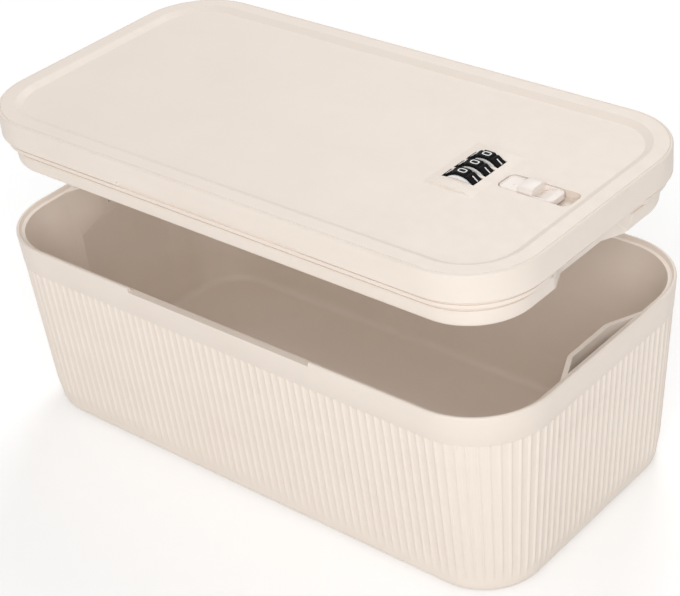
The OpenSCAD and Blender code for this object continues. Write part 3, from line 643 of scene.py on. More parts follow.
@dataclass
class RibbedBox:
    """The box: a ribbed, drafted wall, a plain band, a ledge for the lid and a pocket at each end.

    Attributes:
        width: Length over the rim.
        depth: Depth over the rim.
        height: Height of the rim.
        radius: Corner radius of the rim.
        foot_inset: How far the foot lies inside the rim.
        foot_radius: Radius of the bottom edge.
        band: Height of the plain band.
        band_step: How far the band stands out from the wall between the ribs.
        lip: Height of the lip round the lid.
        lip_width: Width of that lip.
        wall: Thickness of the wall at the ledge.
        floor: Thickness of the floor.
        floor_radius: Radius of the edge between the inner wall and the floor.
        rib_height: Height of a rib.
        rib_fade: Height over which the ribs fade in at the foot.
        pocket_reach: How far a pocket stands into the box.
        pocket_flat: Half length of its flat face.
        pocket_base: Half length where it meets the wall.
        pocket_wall: Thickness of its wall.
        pocket_edge: Radius of the upright edges of its flat face.
        pocket_drop: Depth of its upright part.
        pocket_slope: Height of the slope under it.
        slot: Half width, lowest and highest place of the bolt's slot under the ledge.
        recess: Length of the gap in the lip.
    """

    width: float
    depth: float
    height: float
    radius: float = 38.0
    foot_inset: float = 7.5
    foot_radius: float = 7.0
    band: float = 15.0
    band_step: float = 0.9
    lip: float = 2.0
    lip_width: float = 2.2
    wall: float = 4.1
    floor: float = 3.0
    floor_radius: float = 4.0
    rib_height: float = 0.7
    rib_fade: float = 9.0
    pocket_reach: float = 7.5
    pocket_flat: float = 14.5
    pocket_base: float = 31.0
    pocket_wall: float = 2.2
    pocket_edge: float = 1.6
    pocket_drop: float = 17.0
    pocket_slope: float = 11.0
    slot: Trio = (10.8, -13.2, -9.4)
    recess: float = 110.0

    @classmethod
    def from_frame(cls) -> "RibbedBox":
        """Takes the main sizes from the frame."""
        size = Extent.of("box_body").size
        return cls(size.x, size.y, size.z)

    @property
    def draft(self) -> float:
        """Inward lean of the wall for each millimetre down."""
        return self.foot_inset / self.height

    @property
    def ledge(self) -> float:
        """Height of the ledge that the lid rests on."""
        return self.height - self.lip

    @property
    def wall_x(self) -> float:
        """Inner face of the end wall at the ledge."""
        return self.width / 2 - self.draft * self.lip - self.wall

    def levels(self) -> list[Level]:
        """Rings from the middle of the underside, up the outside, and down the inside to the floor."""
        def lean(height: float) -> float:
            """Inset of the valley between ribs at a height."""
            return self.band_step + self.draft * (self.height - height)

        foot = lean(self.foot_radius)
        band_z = self.height - self.band
        out = rounding((foot + self.foot_radius - 0.5, 0), (foot, self.foot_radius), False, 6)
        for share, fade in ((0.25, 0.2), (0.5, 0.55), (0.75, 0.85), (1.0, 1.0)):
            height = self.foot_radius + self.rib_fade * share
            out.append(Level(lean(height), height, fade))
        band_in = self.draft * self.band
        out += [Level(lean(band_z - 0.5), band_z - 0.5, 1.0), Level(lean(band_z), band_z - 0.05, 0.6),
                Level(band_in + 0.15, band_z), Level(band_in, band_z + 0.25)]
        out += rounding((self.draft, self.height - 1), (self.draft + 0.9, self.height), True)
        out += [Level(self.lip_width - 0.85, self.height), Level(self.lip_width - 0.6, self.height - 0.15),
                Level(self.lip_width, self.ledge + 0.25), Level(self.lip_width + 0.25, self.ledge)]
        inner = self.draft * self.lip + self.wall
        out += rounding((inner - 0.4, self.ledge), (inner, self.ledge - 0.4), False, 3)
        foot_in = inner + self.draft * (self.ledge - self.floor - self.floor_radius)
        out += rounding((foot_in, self.floor + self.floor_radius),
                        (foot_in + self.floor_radius, self.floor), True, 5)
        return out

    def pocket(self, thinned: float, beyond: float, top: float) -> BMesh:
        """Makes a pocket's block at the lock end, or its hollow.

        Args:
            thinned: How far its faces lie inside the pocket's outer faces.
            beyond: How far it runs past the wall's inner face.
            top: Height of its upper face.

        Returns:
            The mesh.
        """
        run = (self.pocket_base - self.pocket_flat) / self.pocket_reach
        slant = thinned * math.hypot(1, run)
        face_x = self.wall_x - self.pocket_reach
        near, far = face_x + thinned, self.wall_x + beyond
        y_near = self.pocket_flat + run * thinned - slant
        y_far = self.pocket_flat + run * (far - face_x) - slant
        upright = self.ledge - self.pocket_drop + thinned
        foot = self.ledge - self.pocket_drop - self.pocket_slope + 2 * thinned
        bm = prism(((near, -y_near), (far, -y_far), (far, y_far), (near, y_near)), foot, top)
        if not thinned:
            edges = [e for e in bm.edges if all(abs(v.co.x - near) < 0.01 for v in e.verts)
                     and abs(e.verts[0].co.z - e.verts[1].co.z) > 1]
            bevel(bm, edges, self.pocket_edge, 4)
        slope = Vector((self.pocket_reach - 1.5, 0, upright - foot))
        normal = Vector((slope.z, 0, slope.x)).normalized()
        cut = bmesh.ops.bisect_plane(bm, geom=list(bm.verts) + list(bm.edges) + list(bm.faces),
                                     plane_co=(near, 0, upright), plane_no=-normal, clear_outer=True)
        bmesh.ops.edgeloop_fill(bm, edges=[e for e in cut["geom_cut"] if isinstance(e, bmesh.types.BMEdge)])
        bmesh.ops.recalc_face_normals(bm, faces=bm.faces)
        return bm

    def at_both_ends(self, make: Callable[[], BMesh]) -> BMesh:
        """Makes a mesh at the lock end and its twin at the other end.

        Args:
            make: Makes the mesh at the lock end.

        Returns:
            Both in one mesh.
        """
        twin = make()
        bmesh.ops.scale(twin, vec=(-1, 1, 1), verts=twin.verts)
        bmesh.ops.reverse_faces(twin, faces=twin.faces)
        return gathered((make(), twin))

    def shell(self) -> BMesh:
        """Stacks the ribbed wall, with more rings' vertices on each rib than between them."""
        plan = Plan(self.width, self.depth, self.radius)
        steps = (0.0, 0.25, 0.5, 0.58, 0.66, 0.75, 0.84, 0.92)

        def place(index: int, level: Level) -> Vector:
            """Puts one vertex on its ring, out on the rib where it lies on one."""
            step = steps[index % len(steps)]
            crest = math.sin(math.pi * (step - 0.5) / 0.5) ** 2 if step > 0.5 else 0.0
            inset = level.inset - self.rib_height * level.rib * crest
            return Vector((*plan.spot(index // len(steps) + step, inset), level.height))

        return stack_rings(plan.ribs * len(steps), self.levels(), place, Ends.CAPPED)

    def build(self, material: Material) -> None:
        """Builds and dresses the box."""
        obj = new_object("ribbed_box", self.shell())
        carve(obj, self.at_both_ends(lambda: self.pocket(0, 1.5, self.ledge)), how=Carving.JOIN)
        half, low, high = self.slot
        face_x = self.wall_x - self.pocket_reach
        slots = self.at_both_ends(lambda: slab(
            (face_x - 1, -half, self.ledge + low),
            (face_x + self.pocket_wall + 0.5, half, self.ledge + high)))
        gap = slab((-self.recess / 2, -self.depth / 2 - 5, self.ledge),
                   (self.recess / 2, self.lip_width + 0.3 - self.depth / 2, self.height + 5), 1.0)
        carve(obj, self.at_both_ends(lambda: self.pocket(self.pocket_wall, 0.02, self.ledge + 1)),
              gathered((slots, gap)))
        deliver(obj, "box", material, ("box_body",), 60.0)


@dataclass
class LidShells:
    """The lid: a top shell with a sunk panel, and a tray under it whose plug enters the box.

    Attributes:
        top: Extent of the top shell.
        lock: Middle of the middle wheel.
        wheel_radius: Radius of the wheels.
        radius: Corner radius of the skirt.
        skirt: Thickness of the skirt.
        edge_radius: Radius of the top edge.
        edge_line: Distance of the fine line from the top edge's round, its width and its depth.
        panel_inset: Distance from the edge to the sunk panel.
        panel_slope: Width of the slope round the panel.
        panel_drop: Depth of the panel.
        panel: Thickness of the panel.
        mound: Length and height of the mound round the wheels, its half width, and its hollow ends' reach.
        well_gap: Clearance round a wheel in its slot.
        tunnel: Radius of the room for the sleeves between the slots.
        pad: Half length of the pad over the lock's frame, and its front and back ends.
        slide: Length, width and depth of the slide's recess.
        notch: Length, height and depth of the finger notch in the skirt.
        plug: Depth of the plug.
        plug_inset: How far the plug lies inside the skirt.
        plug_draft: Its draft.
        plug_edge: Radius of its lower edge.
        tray_wall: Thickness of its wall.
        tray_floor: Thickness of its floor.
        step: Height of the flange between plug and skirt.
        flange_inset: How far the flange lies inside the skirt.
        collar: Height of the collar inside the skirt.
        post: Radius of a screw's post, of its hole and of the recess for its head.
        stem_slot: Length and width of the slot for the slide's stem.
    """

    top: Extent
    lock: Vector
    wheel_radius: float
    radius: float = 35.5
    skirt: float = 2.4
    edge_radius: float = 1.0
    edge_line: Trio = (0.15, 0.55, 0.35)
    panel_inset: float = 12.0
    panel_slope: float = 3.5
    panel_drop: float = 2.0
    panel: float = 2.4
    mound: tuple[float, float, float, float] = (27.0, 1.15, 19.0, 1.8)
    well_gap: float = 0.3
    tunnel: float = 6.3
    pad: Trio = (14.0, -17.4, 19.8)
    slide: Trio = (36.4, 12.8, 4.0)
    notch: Trio = (107.0, 2.2, 1.3)
    plug: float = 15.0
    plug_inset: float = 4.95
    plug_draft: float = 0.8
    plug_edge: float = 1.8
    tray_wall: float = 2.2
    tray_floor: float = 2.4
    step: float = 4.0
    flange_inset: float = 2.15
    collar: float = 2.5
    post: Trio = (3.5, 1.5, 3.0)
    stem_slot: Pair = (17.8, 5.8)

    @classmethod
    def from_frame(cls) -> "LidShells":
        """Takes the main sizes from the frame."""
        wheel = NumberWheel.room(2)
        middle = Vector((wheel.middle.x, 0, wheel.middle.z))
        return cls(Extent.of("lid_cover"), middle, wheel.size.x / 2)

    @property
    def base(self) -> float:
        """Height of the skirt's lower edge."""
        return self.top.low.z

    @property
    def panel_z(self) -> float:
        """Height of the sunk panel."""
        return self.top.high.z - self.panel_drop

    @property
    def plan(self) -> Plan:
        """Outline of the skirt."""
        return Plan(self.top.size.x, self.top.size.y, self.radius)

    def posts(self) -> list[Pair]:
        """Places of the screws that join the two shells."""
        places = []
        for share in (-1, -0.36, 0.36, 1):
            for side in (-1, 1):
                margin = 27 if abs(share) == 1 else 14
                places.append((share * (self.top.size.x / 2 - 24), side * (self.top.size.y / 2 - margin)))
        return places

    def at_posts(self, bottom: float, top: float, radius: float, segments: int = 32) -> BMesh:
        """Makes a round bar at each screw's place."""
        return gathered(drum((x, y, bottom), (x, y, top), radius, segments) for x, y in self.posts())

    def on_axle(self, front: float, back: float, radius: float, segments: int) -> BMesh:
        """Makes a round bar on the wheels' axle."""
        return drum((self.lock.x, front, self.lock.z), (self.lock.x, back, self.lock.z), radius, segments)

    def cover_levels(self) -> list[Level]:
        """Rings from under the panel, round the skirt, and over the rim to the panel."""
        high = self.top.high.z
        under = self.panel_z - self.panel
        slope_top = self.panel_inset - self.panel_slope
        out = rounding((self.skirt + 1.5, under), (self.skirt, under - 1.5), False, 3)
        out += [Level(self.skirt, self.base + 0.25), Level(self.skirt - 0.25, self.base),
                Level(0.3, self.base), Level(0.0, self.base + 0.3)]
        out += rounding((0, high - self.edge_radius), (self.edge_radius, high), True, 7)
        gap, wide, deep = self.edge_line
        line = self.edge_radius + gap
        out += [Level(line, high), Level(line + wide / 2, high - deep), Level(line + wide, high),
                Level(slope_top - 0.7, high), Level(slope_top, high - 0.12),
                Level(slope_top + 0.5, high - 0.42),
                Level(self.panel_inset - 0.5, self.panel_z + 0.42),
                Level(self.panel_inset, self.panel_z + 0.12), Level(self.panel_inset + 0.7, self.panel_z)]
        return out

    def lock_pad(self, top: float) -> BMesh:
        """Makes the pad that the lock's frame is screwed to."""
        half, front, back = self.pad
        return slab((self.lock.x - half, front, self.base + 7), (self.lock.x + half, back, top), 0.8)

    def wheel_mound(self) -> BMesh:
        """Makes the low mound that is arched over the lock, and runs out in a hollow at both ends."""
        length, rise, half, flare = self.mound
        bow = (length ** 2 / 4 + rise ** 2) / (2 * rise)
        reach = math.asin(length / 2 / bow)
        steps = 30
        levels = [(length / 2, half + flare, -1.0)]
        for step in range(steps):
            turn = reach * (1 - step / steps)
            height = rise - bow + bow * math.cos(turn)
            left = 1 - height / rise
            end = half + flare * (1 - math.sqrt(max(0.0, 1 - left ** 2)))
            levels.append((bow * math.sin(turn), end, height))
        corners = ((-1, -1), (1, -1), (1, 1), (-1, 1))

        def place(index: int, level: Trio) -> Vector:
            """Puts one corner of a level."""
            side, end = corners[index]
            return Vector((self.lock.x + side * level[0], end * level[1], self.panel_z + level[2]))

        return stack_rings(4, levels, place, Ends.CAPPED)

    def wheel_wells(self) -> list[BMesh]:
        """Makes the cutter of each wheel's slot."""
        gap = self.well_gap
        radius = self.wheel_radius + gap
        rooms = [NumberWheel.room(number) for number in (1, 2, 3)]
        return [self.on_axle(room.low.y - gap, room.high.y + gap, radius, 96) for room in rooms]

    def build_cover(self, material: Material) -> None:
        """Builds and dresses the top shell."""
        obj = new_object("lid_top_shell", walled(self.plan, self.cover_levels()))
        under = self.panel_z - self.panel
        inside = under + 1.0
        length, width, depth = self.slide
        button = SlideButton.from_frame()
        left = button.extent.low.x - 0.4
        right = left + length
        floor = self.panel_z - depth
        post, hole, _ = self.post
        carve(obj,
              slab((left - 2, -width / 2 - 2.6, floor - 1.6), (right + 2, width / 2 + 2.6, inside), 3.0),
              self.lock_pad(inside), self.wheel_mound(), self.at_posts(self.base + 2, inside, post),
              how=Carving.JOIN)
        stem = button.stem_x - 0.4
        stem_long, stem_wide = self.stem_slot
        long, high, deep = self.notch
        front = self.top.low.y
        carve(obj, gathered(self.wheel_wells()),
              self.on_axle(self.pad[1] + 2.4, self.pad[2] - 2.4, self.tunnel, 72),
              slab((left, -width / 2, floor), (right, width / 2, self.panel_z + 3), 3.4, 8),
              slab((stem, -stem_wide / 2, floor - 3), (stem + stem_long, stem_wide / 2, floor + 1), 0.8),
              slab((-long / 2, front - 5, self.base - 5), (long / 2, front + deep, self.base + high), 1.0),
              self.at_posts(self.base - 1, under - 1, hole, 24))
        soften(obj, 0.18)
        deliver(obj, "lid", material, ("lid_cover",), 16.0, True)

    def pocket_room(self, box: RibbedBox, grown: float, bottom: float, top: float) -> BMesh:
        """Makes the room that the tray leaves round both pockets.

        Args:
            box: The box whose pockets it clears.
            grown: Clearance round a pocket.
            bottom: Height of the room's floor.
            top: Height of its top.

        Returns:
            The mesh of both rooms.
        """
        run = (box.pocket_base - box.pocket_flat) / box.pocket_reach
        near = box.wall_x - box.pocket_reach - grown
        far = box.width / 2 + 2
        y_near = box.pocket_flat - run * grown + grown * math.hypot(1, run)
        y_far = y_near + run * (far - near)
        outline = ((near, -y_near), (far, -y_far), (far, y_far), (near, y_near))
        return box.at_both_ends(lambda: prism(outline, bottom, top))

    def build_tray(self, box: RibbedBox, material: Material) -> None:
        """Builds and dresses the tray, with its plug cleared round the pockets."""
        bottom = self.base - self.plug
        foot = self.plug_inset + self.plug_draft
        rim = self.flange_inset
        under = self.base - self.step
        levels = rounding((foot + self.plug_edge, bottom), (foot, bottom + self.plug_edge), False, 5)
        neck = under - (self.plug_inset - rim) * VIEW_DROP
        seam = self.base - rim * VIEW_DROP
        levels += [Level(self.plug_inset, neck - 0.45), Level(self.plug_inset + 0.6, neck - 0.4),
                   Level(self.plug_inset + 0.6, under), Level(rim + 0.15, under), Level(rim, under + 0.15),
                   Level(rim, seam - 0.4), Level(rim + 0.6, seam - 0.35), Level(rim + 0.6, self.base - 0.01),
                   Level(self.skirt + 0.1, self.base), Level(self.skirt + 0.1, self.base + self.collar)]
        obj = new_object("lid_tray_shell", walled(self.plan, levels))
        clear = 2.4
        carve(obj, self.pocket_room(box, clear, bottom - 2, self.base))
        floor = bottom + self.tray_floor
        inner = foot + self.tray_wall
        upper = self.plug_inset + self.tray_wall
        top = self.base + self.collar
        levels = [Level(inner, floor), Level(upper, self.base - 2.2), Level(upper, top + 2)]
        hollow = walled(self.plan, levels)
        hollow_object = new_object("hollow", hollow)
        carve(hollow_object, self.pocket_room(box, clear + self.tray_wall, floor - 1, top + 3))
        tool = bmesh.new()
        tool.from_mesh(hollow_object.data)
        bpy.data.objects.remove(hollow_object)
        carve(obj, tool)
        carve(obj, self.at_posts(floor - 0.5, self.base + 2, self.post[0]), how=Carving.JOIN)
        self.cut_tray(obj, box, bottom, floor)
        soften(obj, 0.25)
        deliver(obj, "lid", material, ("lid_tray",))

    def cut_tray(self, obj: Object, box: RibbedBox, bottom: float, floor: float) -> None:
        """Cuts the tray's screw holes, bolt slots and the opening under the lock.

        Args:
            obj: The tray.
            box: The box whose pockets the bolts enter.
            bottom: Height of the tray's underside.
            floor: Height of its inner floor.
        """
        plate = Extent.of("lock_access_plate")
        pivot = Extent.of("rocker_pivot").middle
        bolt = Extent.of("right_bolt").high
        _, hole, head = self.post
        gap = 0.3
        carve(obj,
              slab((plate.low.x - gap, plate.low.y - gap, bottom - 1),
                   (plate.high.x + gap, plate.high.y + gap, plate.high.z), 4.0, 6),
              slab((plate.low.x + 7, plate.low.y + 3, bottom - 1),
                   (plate.high.x - 7, plate.high.y - 3, floor + 1), 3.0, 6),
              self.at_posts(bottom - 1, self.base + 4, hole, 24),
              self.at_posts(bottom - 1, bottom + 1.9, head),
              drum((pivot.x, pivot.y, bottom + 1.2), (pivot.x, pivot.y, floor + 3), 2.0, 32),
              box.at_both_ends(lambda: slab((bolt.x - 9, -10.3, floor), (bolt.x + 5, 10.3, bolt.z + gap))))


# Outline of the nought on the grid that the digits are drawn on, from -1 to 1 each way
SQUARED = ((-0.6, 1), (0.6, 1), (1, 0.7), (1, -0.7), (0.6, -1), (-0.6, -1), (-1, -0.7), (-1, 0.7))
# Strokes of each digit from 0 to 9: their corners on that grid, and whether they close
DIGIT_STROKES = (
    ((SQUARED, True),),
    ((((0, 0.9), (0, 0), (0, -0.9)), False),),
    ((((-1, 0.5), (-1, 1), (0, 1), (1, 1), (1, 0.3), (-0.6, -0.7), (-1, -1)), False),
     (((-1, -1), (0, -1), (1, -1)), False)),
    ((((-1, 1), (0.4, 1), (1, 1), (1, 0.1), (-0.3, 0.1)), False),
     (((-0.3, 0.1), (1, 0.1), (1, -1), (0, -1), (-1, -1)), False)),
    ((((0.4, -1), (0.4, 0), (0.4, 1)), False), (((0.4, 1), (-1, -0.3), (-1, -0.4), (1, -0.4)), False)),
    ((((1, 1), (-0.8, 1), (-0.9, 0.95), (-1, 0.1)), False),
     (((-1, 0.1), (1, 0.3), (1, -1), (0, -1), (-1, -1)), False)),
    ((((0.9, 1), (-1, 1), (-1, 0), (-1, -1), (0, -1), (1, -1), (1, 0.15), (0, 0.15), (-1, 0.15)), False),),
    ((((-1, 1), (0.9, 1), (1, 0.9), (-0.2, -1)), False),),
    ((((0, 1), (0.85, 1), (0.85, 0.1), (0, 0.1), (-0.85, 0.1), (-0.85, 1)), True),
     (((0, 0.1), (1, 0.1), (1, -1), (0, -1), (-1, -1), (-1, 0.1)), True)),
    ((((-0.9, -1), (1, -1), (1, 0), (1, 1), (0, 1), (-1, 1), (-1, -0.15), (0, -0.15), (1, -0.15)), False),),
)


@dataclass(frozen=True)
class Turn:
    """One ring of a wheel.

    Attributes:
        radius: Its radius, or that of the flats on a lobed ring.
        y: Its place along the axle.
        lobed: Whether it has the ten flats with grooves between them.
    """

    radius: float
    y: float
    lobed: bool = False


@dataclass
class NumberWheel:
    """A number wheel: ten flats with a digit each, grooves between them, and a white index collar.

    Attributes:
        node: Its node in the frame.
        body: The body that it rides on.
        extent: Its extent.
        collar: Width of the index collar.
        collar_step: How far the collar lies under the wheel's radius.
        bore: Radius of its bore.
        relief: Radius and depth of the room for the dogs of its sleeve.
        edges: Width of the chamfer at a flat's ends, and depth of the lobes on the wheel's sides.
        half_flat: Half of the angle that a flat takes up, in degrees.
        groove: Depth of a groove under the full radius.
        digit: Width and height of a digit.
        stroke: Half width of its strokes.
    """

    node: str
    body: str
    extent: Extent
    collar: float = 0.8
    collar_step: float = 1.5
    bore: float = 6.05
    relief: Pair = (6.9, 1.4)
    edges: Pair = (0.35, 1.6)
    half_flat: float = 12.5
    groove: float = 0.55
    digit: Pair = (2.5, 3.7)
    stroke: float = 0.32

    @staticmethod
    def room(number: int) -> Extent:
        """Measures a wheel of the frame, and draws it in to the photograph's pitch and width.

        Args:
            number: The wheel's number.

        Returns:
            The extent of the wheel that is built.
        """
        node = Extent.of(f"number_wheel_{number}")
        middle = Vector((node.middle.x, node.middle.y * WHEEL_PITCH_SHARE, node.middle.z))
        half = Vector((node.size.x / 2, node.size.y / 2 * WHEEL_PITCH_SHARE, node.size.z / 2))
        return Extent(middle - half, middle + half)

    @classmethod
    def all_from_frame(cls) -> list["NumberWheel"]:
        """Makes the three wheels."""
        return [cls(f"number_wheel_{i}", f"wheel_{i}", cls.room(i)) for i in (1, 2, 3)]

    @property
    def axle(self) -> Vector:
        """Middle of the wheel."""
        return self.extent.middle

    @property
    def flat(self) -> float:
        """Distance of a flat from the axle."""
        return self.extent.size.x / 2 * math.cos(math.radians(self.half_flat))

    def reach(self, turn: float, flat: float) -> float:
        """Radius of a lobed ring.

        Args:
            turn: Angle from the middle of a flat, in degrees from -18 to 18.
            flat: Distance of the flat from the axle.

        Returns:
            The radius.
        """
        full = flat / math.cos(math.radians(min(abs(turn), self.half_flat)))
        past = max(0.0, abs(turn) - self.half_flat) / (18 - self.half_flat)
        return full - self.groove * math.sin(past * math.pi / 2) ** 1.4

    def ring(self, turns: Sequence[Turn]) -> BMesh:
        """Stacks a closed ring of the wheel from its sections."""
        per_flat = 14
        count = 10 * per_flat

        def place(index: int, turn: Turn) -> Vector:
            """Puts one vertex round the axle."""
            degrees = 360 * index / count
            from_flat = (degrees + 18) % 36 - 18
            radius = self.reach(from_flat, turn.radius) if turn.lobed else turn.radius
            angle = math.radians(degrees)
            return Vector((self.axle.x + radius * math.sin(angle), turn.y,
                           self.axle.z + radius * math.cos(angle)))

        return stack_rings(count, turns, place, Ends.JOINED)

    def digits(self, material: Material) -> None:
        """Makes the ten digits, upright for someone who stands at the lock end."""
        parts = []
        width, height = self.digit
        face_middle = (self.extent.low.y + self.collar + self.extent.high.y) / 2
        for number, strokes in enumerate(DIGIT_STROKES):
            curve = bpy.data.curves.new("digit", "CURVE")
            curve.dimensions = "3D"
            curve.bevel_depth = self.stroke
            curve.bevel_resolution = 3
            curve.use_fill_caps = True
            for points, closed in strokes:
                spline = curve.splines.new("NURBS")
                spline.points.add(len(points) - 1)
                for point, (x, y) in zip(spline.points, points):
                    point.co = (x * width / 2, y * height / 2, 0, 1)
                spline.use_cyclic_u = closed
                spline.use_endpoint_u = not closed
                spline.order_u = 3
                spline.resolution_u = 5
            holder = add_object("digit", curve)
            mesh = finished_mesh(holder)
            bpy.data.objects.remove(holder)
            bpy.data.curves.remove(curve)
            bm = bmesh.new()
            bm.from_mesh(mesh)
            bpy.data.meshes.remove(mesh)
            bmesh.ops.scale(bm, vec=(1, 1, 0.4), verts=bm.verts)
            upright = Matrix(((0, -1, 0, 0), (1, 0, 0, 0), (0, 0, 1, self.flat - 0.03), (0, 0, 0, 1)))
            turn = Matrix.Rotation(math.radians(36 * number), 4, "Y")
            place = Matrix.Translation((self.axle.x, face_middle, self.axle.z))
            bm.transform(place @ turn @ upright)
            parts.append(bm)
        obj = new_object(f"{self.node}_digits", gathered(parts))
        deliver(obj, self.body, material)

    def build(self, black: Material, white: Material) -> None:
        """Builds and dresses the wheel, its collar and its digits."""
        low, high = self.extent.low.y, self.extent.high.y
        face = low + self.collar
        edge, shoulder = self.edges
        relief, depth = self.relief
        flat = self.flat
        body = self.ring((
            Turn(relief, face), Turn(flat - shoulder, face, True), Turn(flat - edge, face, True),
            Turn(flat, face + edge, True), Turn(flat, high - edge, True), Turn(flat - edge, high, True),
            Turn(flat - shoulder, high, True), Turn(self.bore, high), Turn(self.bore, face + depth),
            Turn(relief, face + depth)))
        deliver(new_object(self.node + "_face", body), self.body, black, (self.node,))
        rim = self.extent.size.x / 2 - self.collar_step
        collar = self.ring((Turn(relief, low), Turn(rim - 0.2, low), Turn(rim, low + 0.2), Turn(rim, face),
                            Turn(relief, face)))
        deliver(new_object(self.node + "_index_collar", collar), self.body, white)
        self.digits(white)


@dataclass
class SlideButton:
    """The slide: a rounded plate with a bridge grip across it and a thumb hollow beside the grip.

    Attributes:
        extent: Extent of the slide's node.
        panel: Height of the lid's panel.
        plate_depth: Thickness of the plate.
        radius: Corner radius of the plate.
        border: Width and height of the raised border.
        grip: Width and height of the grip in the plate's middle.
        fullness: Power of the grip's arch; 2 is an ellipse, and more is squarer.
        hollow: Length and depth of the thumb hollow, and the width of the rim beside it.
        stem: Length and width of the stem.
        rounds: Radius of the plate's upper edge, and of the grip's ends.
    """

    extent: Extent
    panel: float
    plate_depth: float = 2.7
    radius: float = 3.2
    border: Pair = (0.9, 0.22)
    grip: Pair = (7.4, 2.5)
    fullness: float = 3.2
    hollow: Trio = (8.6, 1.8, 1.1)
    stem: Pair = (10.0, 5.0)
    rounds: Pair = (0.5, 0.45)

    @classmethod
    def from_frame(cls) -> "SlideButton":
        """Takes the slide's place from the frame."""
        node = Extent.of("slide_button")
        shift = Vector((BUTTON_SHIFT, 0, 0))
        return cls(Extent(node.low + shift, node.high + shift), Extent.of("lid_cover").high.z - 2.0)

    @property
    def stem_x(self) -> float:
        """Left end of the stem, where the frame has it."""
        return self.extent.low.x - BUTTON_SHIFT + self.stem[0] / 2 + 0.3

    def bridge(self, left: float, right: float, top: float) -> BMesh:
        """Makes the arched grip that crosses the plate.

        Args:
            left: Its left side.
            right: Its right side.
            top: Height of the plate's upper face.

        Returns:
            The mesh.
        """
        rise = self.grip[1]
        half = self.extent.size.y / 2 - 0.1
        steps = 28
        profile = [(half, top - 1.0)]
        for step in range(steps + 1):
            turn = math.pi * step / steps
            way = math.copysign(abs(math.cos(turn)) ** (2 / self.fullness), math.cos(turn))
            profile.append((half * way, top + rise * math.sin(turn) ** (2 / self.fullness)))
        profile.append((-half, top - 1.0))
        bm = prism(profile, left, right)
        ends = [e for e in bm.edges if abs(e.verts[0].co.z - e.verts[1].co.z) < 0.01
                and max(v.co.y for v in e.verts) > top - 0.5]
        bevel(bm, ends, self.rounds[1], 3)
        bm.transform(Matrix(((0, 0, 1, 0), (1, 0, 0, 0), (0, 1, 0, 0), (0, 0, 0, 1))))
        bmesh.ops.recalc_face_normals(bm, faces=bm.faces)
        return bm

    def ramp(self, left: float, top: float) -> BMesh:
        """Makes the cutter of the thumb hollow: deep at the grip, and rising in a curve away from it."""
        run, deep, rim = self.hollow
        steps = 12
        outline = [(left + run, top + 1), (left, top + 1)]
        for step in range(steps + 1):
            share = step / steps
            outline.append((left + run * share, top - deep * (1 - share) ** 1.7 - 0.25 * (1 - share)))
        bm = prism(outline, -self.extent.size.y / 2 + rim, self.extent.size.y / 2 - rim)
        bm.transform(Matrix(((1, 0, 0, 0), (0, 0, 1, 0), (0, 1, 0, 0), (0, 0, 0, 1))))
        bmesh.ops.recalc_face_normals(bm, faces=bm.faces)
        return bm

    def arrow(self, x: float, way: int, bottom: float) -> BMesh:
        """Makes a small raised chevron that points along X, or back along it."""
        size, thick = 1.2, 0.3
        points = [(0, -size), (thick * 1.4, -size), (size + thick, 0), (thick * 1.4, size), (0, size),
                  (size - 0.2, 0)]
        return prism([(x + way * px, way * py) for px, py in points], bottom, bottom + 0.22)

    def build(self, material: Material) -> None:
        """Builds and dresses the slide."""
        low, high = self.extent.low, self.extent.high
        middle = self.extent.middle
        top = self.panel - 0.2
        plate = slab((low.x, low.y, top - self.plate_depth), (high.x, high.y, top), self.radius, 10)
        upper = [e for e in plate.edges if all(v.co.z > top - 0.01 for v in e.verts)]
        bevel(plate, upper, self.rounds[0], 3)
        obj = new_object("slide_button_shell", plate)
        width, rise = self.grip
        left, right = middle.x - width / 2, middle.x + width / 2
        edge, sink = self.border
        for start, end in ((low.x + edge, left + 1), (right - 1, high.x - edge)):
            carve(obj, slab((start, low.y + edge, top - sink), (end, high.y - edge, top + 1),
                            self.radius - edge, 8))
        carve(obj, self.ramp(right, top))
        length, wide = self.stem
        stem_x = self.stem_x
        arrows = ((low.x + 5.2, 1), (high.x - 2.6, -1))
        carve(obj, self.bridge(left, right, top),
              gathered(self.arrow(x, way, top - sink - 0.1) for x, way in arrows),
              slab((stem_x, -wide / 2, low.z), (stem_x + length, wide / 2, top - 1.0), 0.6), how=Carving.JOIN)
        deliver(obj, "latch", material, ("slide_button",))


def dress_frame(finishes: dict[str, Material]) -> None:
    """Gives every node of the frame the finish of its record slot.

    Args:
        finishes: A material for each slot.
    """
    slots = {part["node"]: part["material_slot"] for part in frame["record"]["subparts"]}
    for node, obj in frame["nodes"].items():
        finish = finishes[slots[node]]
        if not obj.material_slots:
            obj.data.materials.append(finish)
        for holder in obj.material_slots:
            holder.material = finish
        LOG.info("%s: %s", node, finish.name)


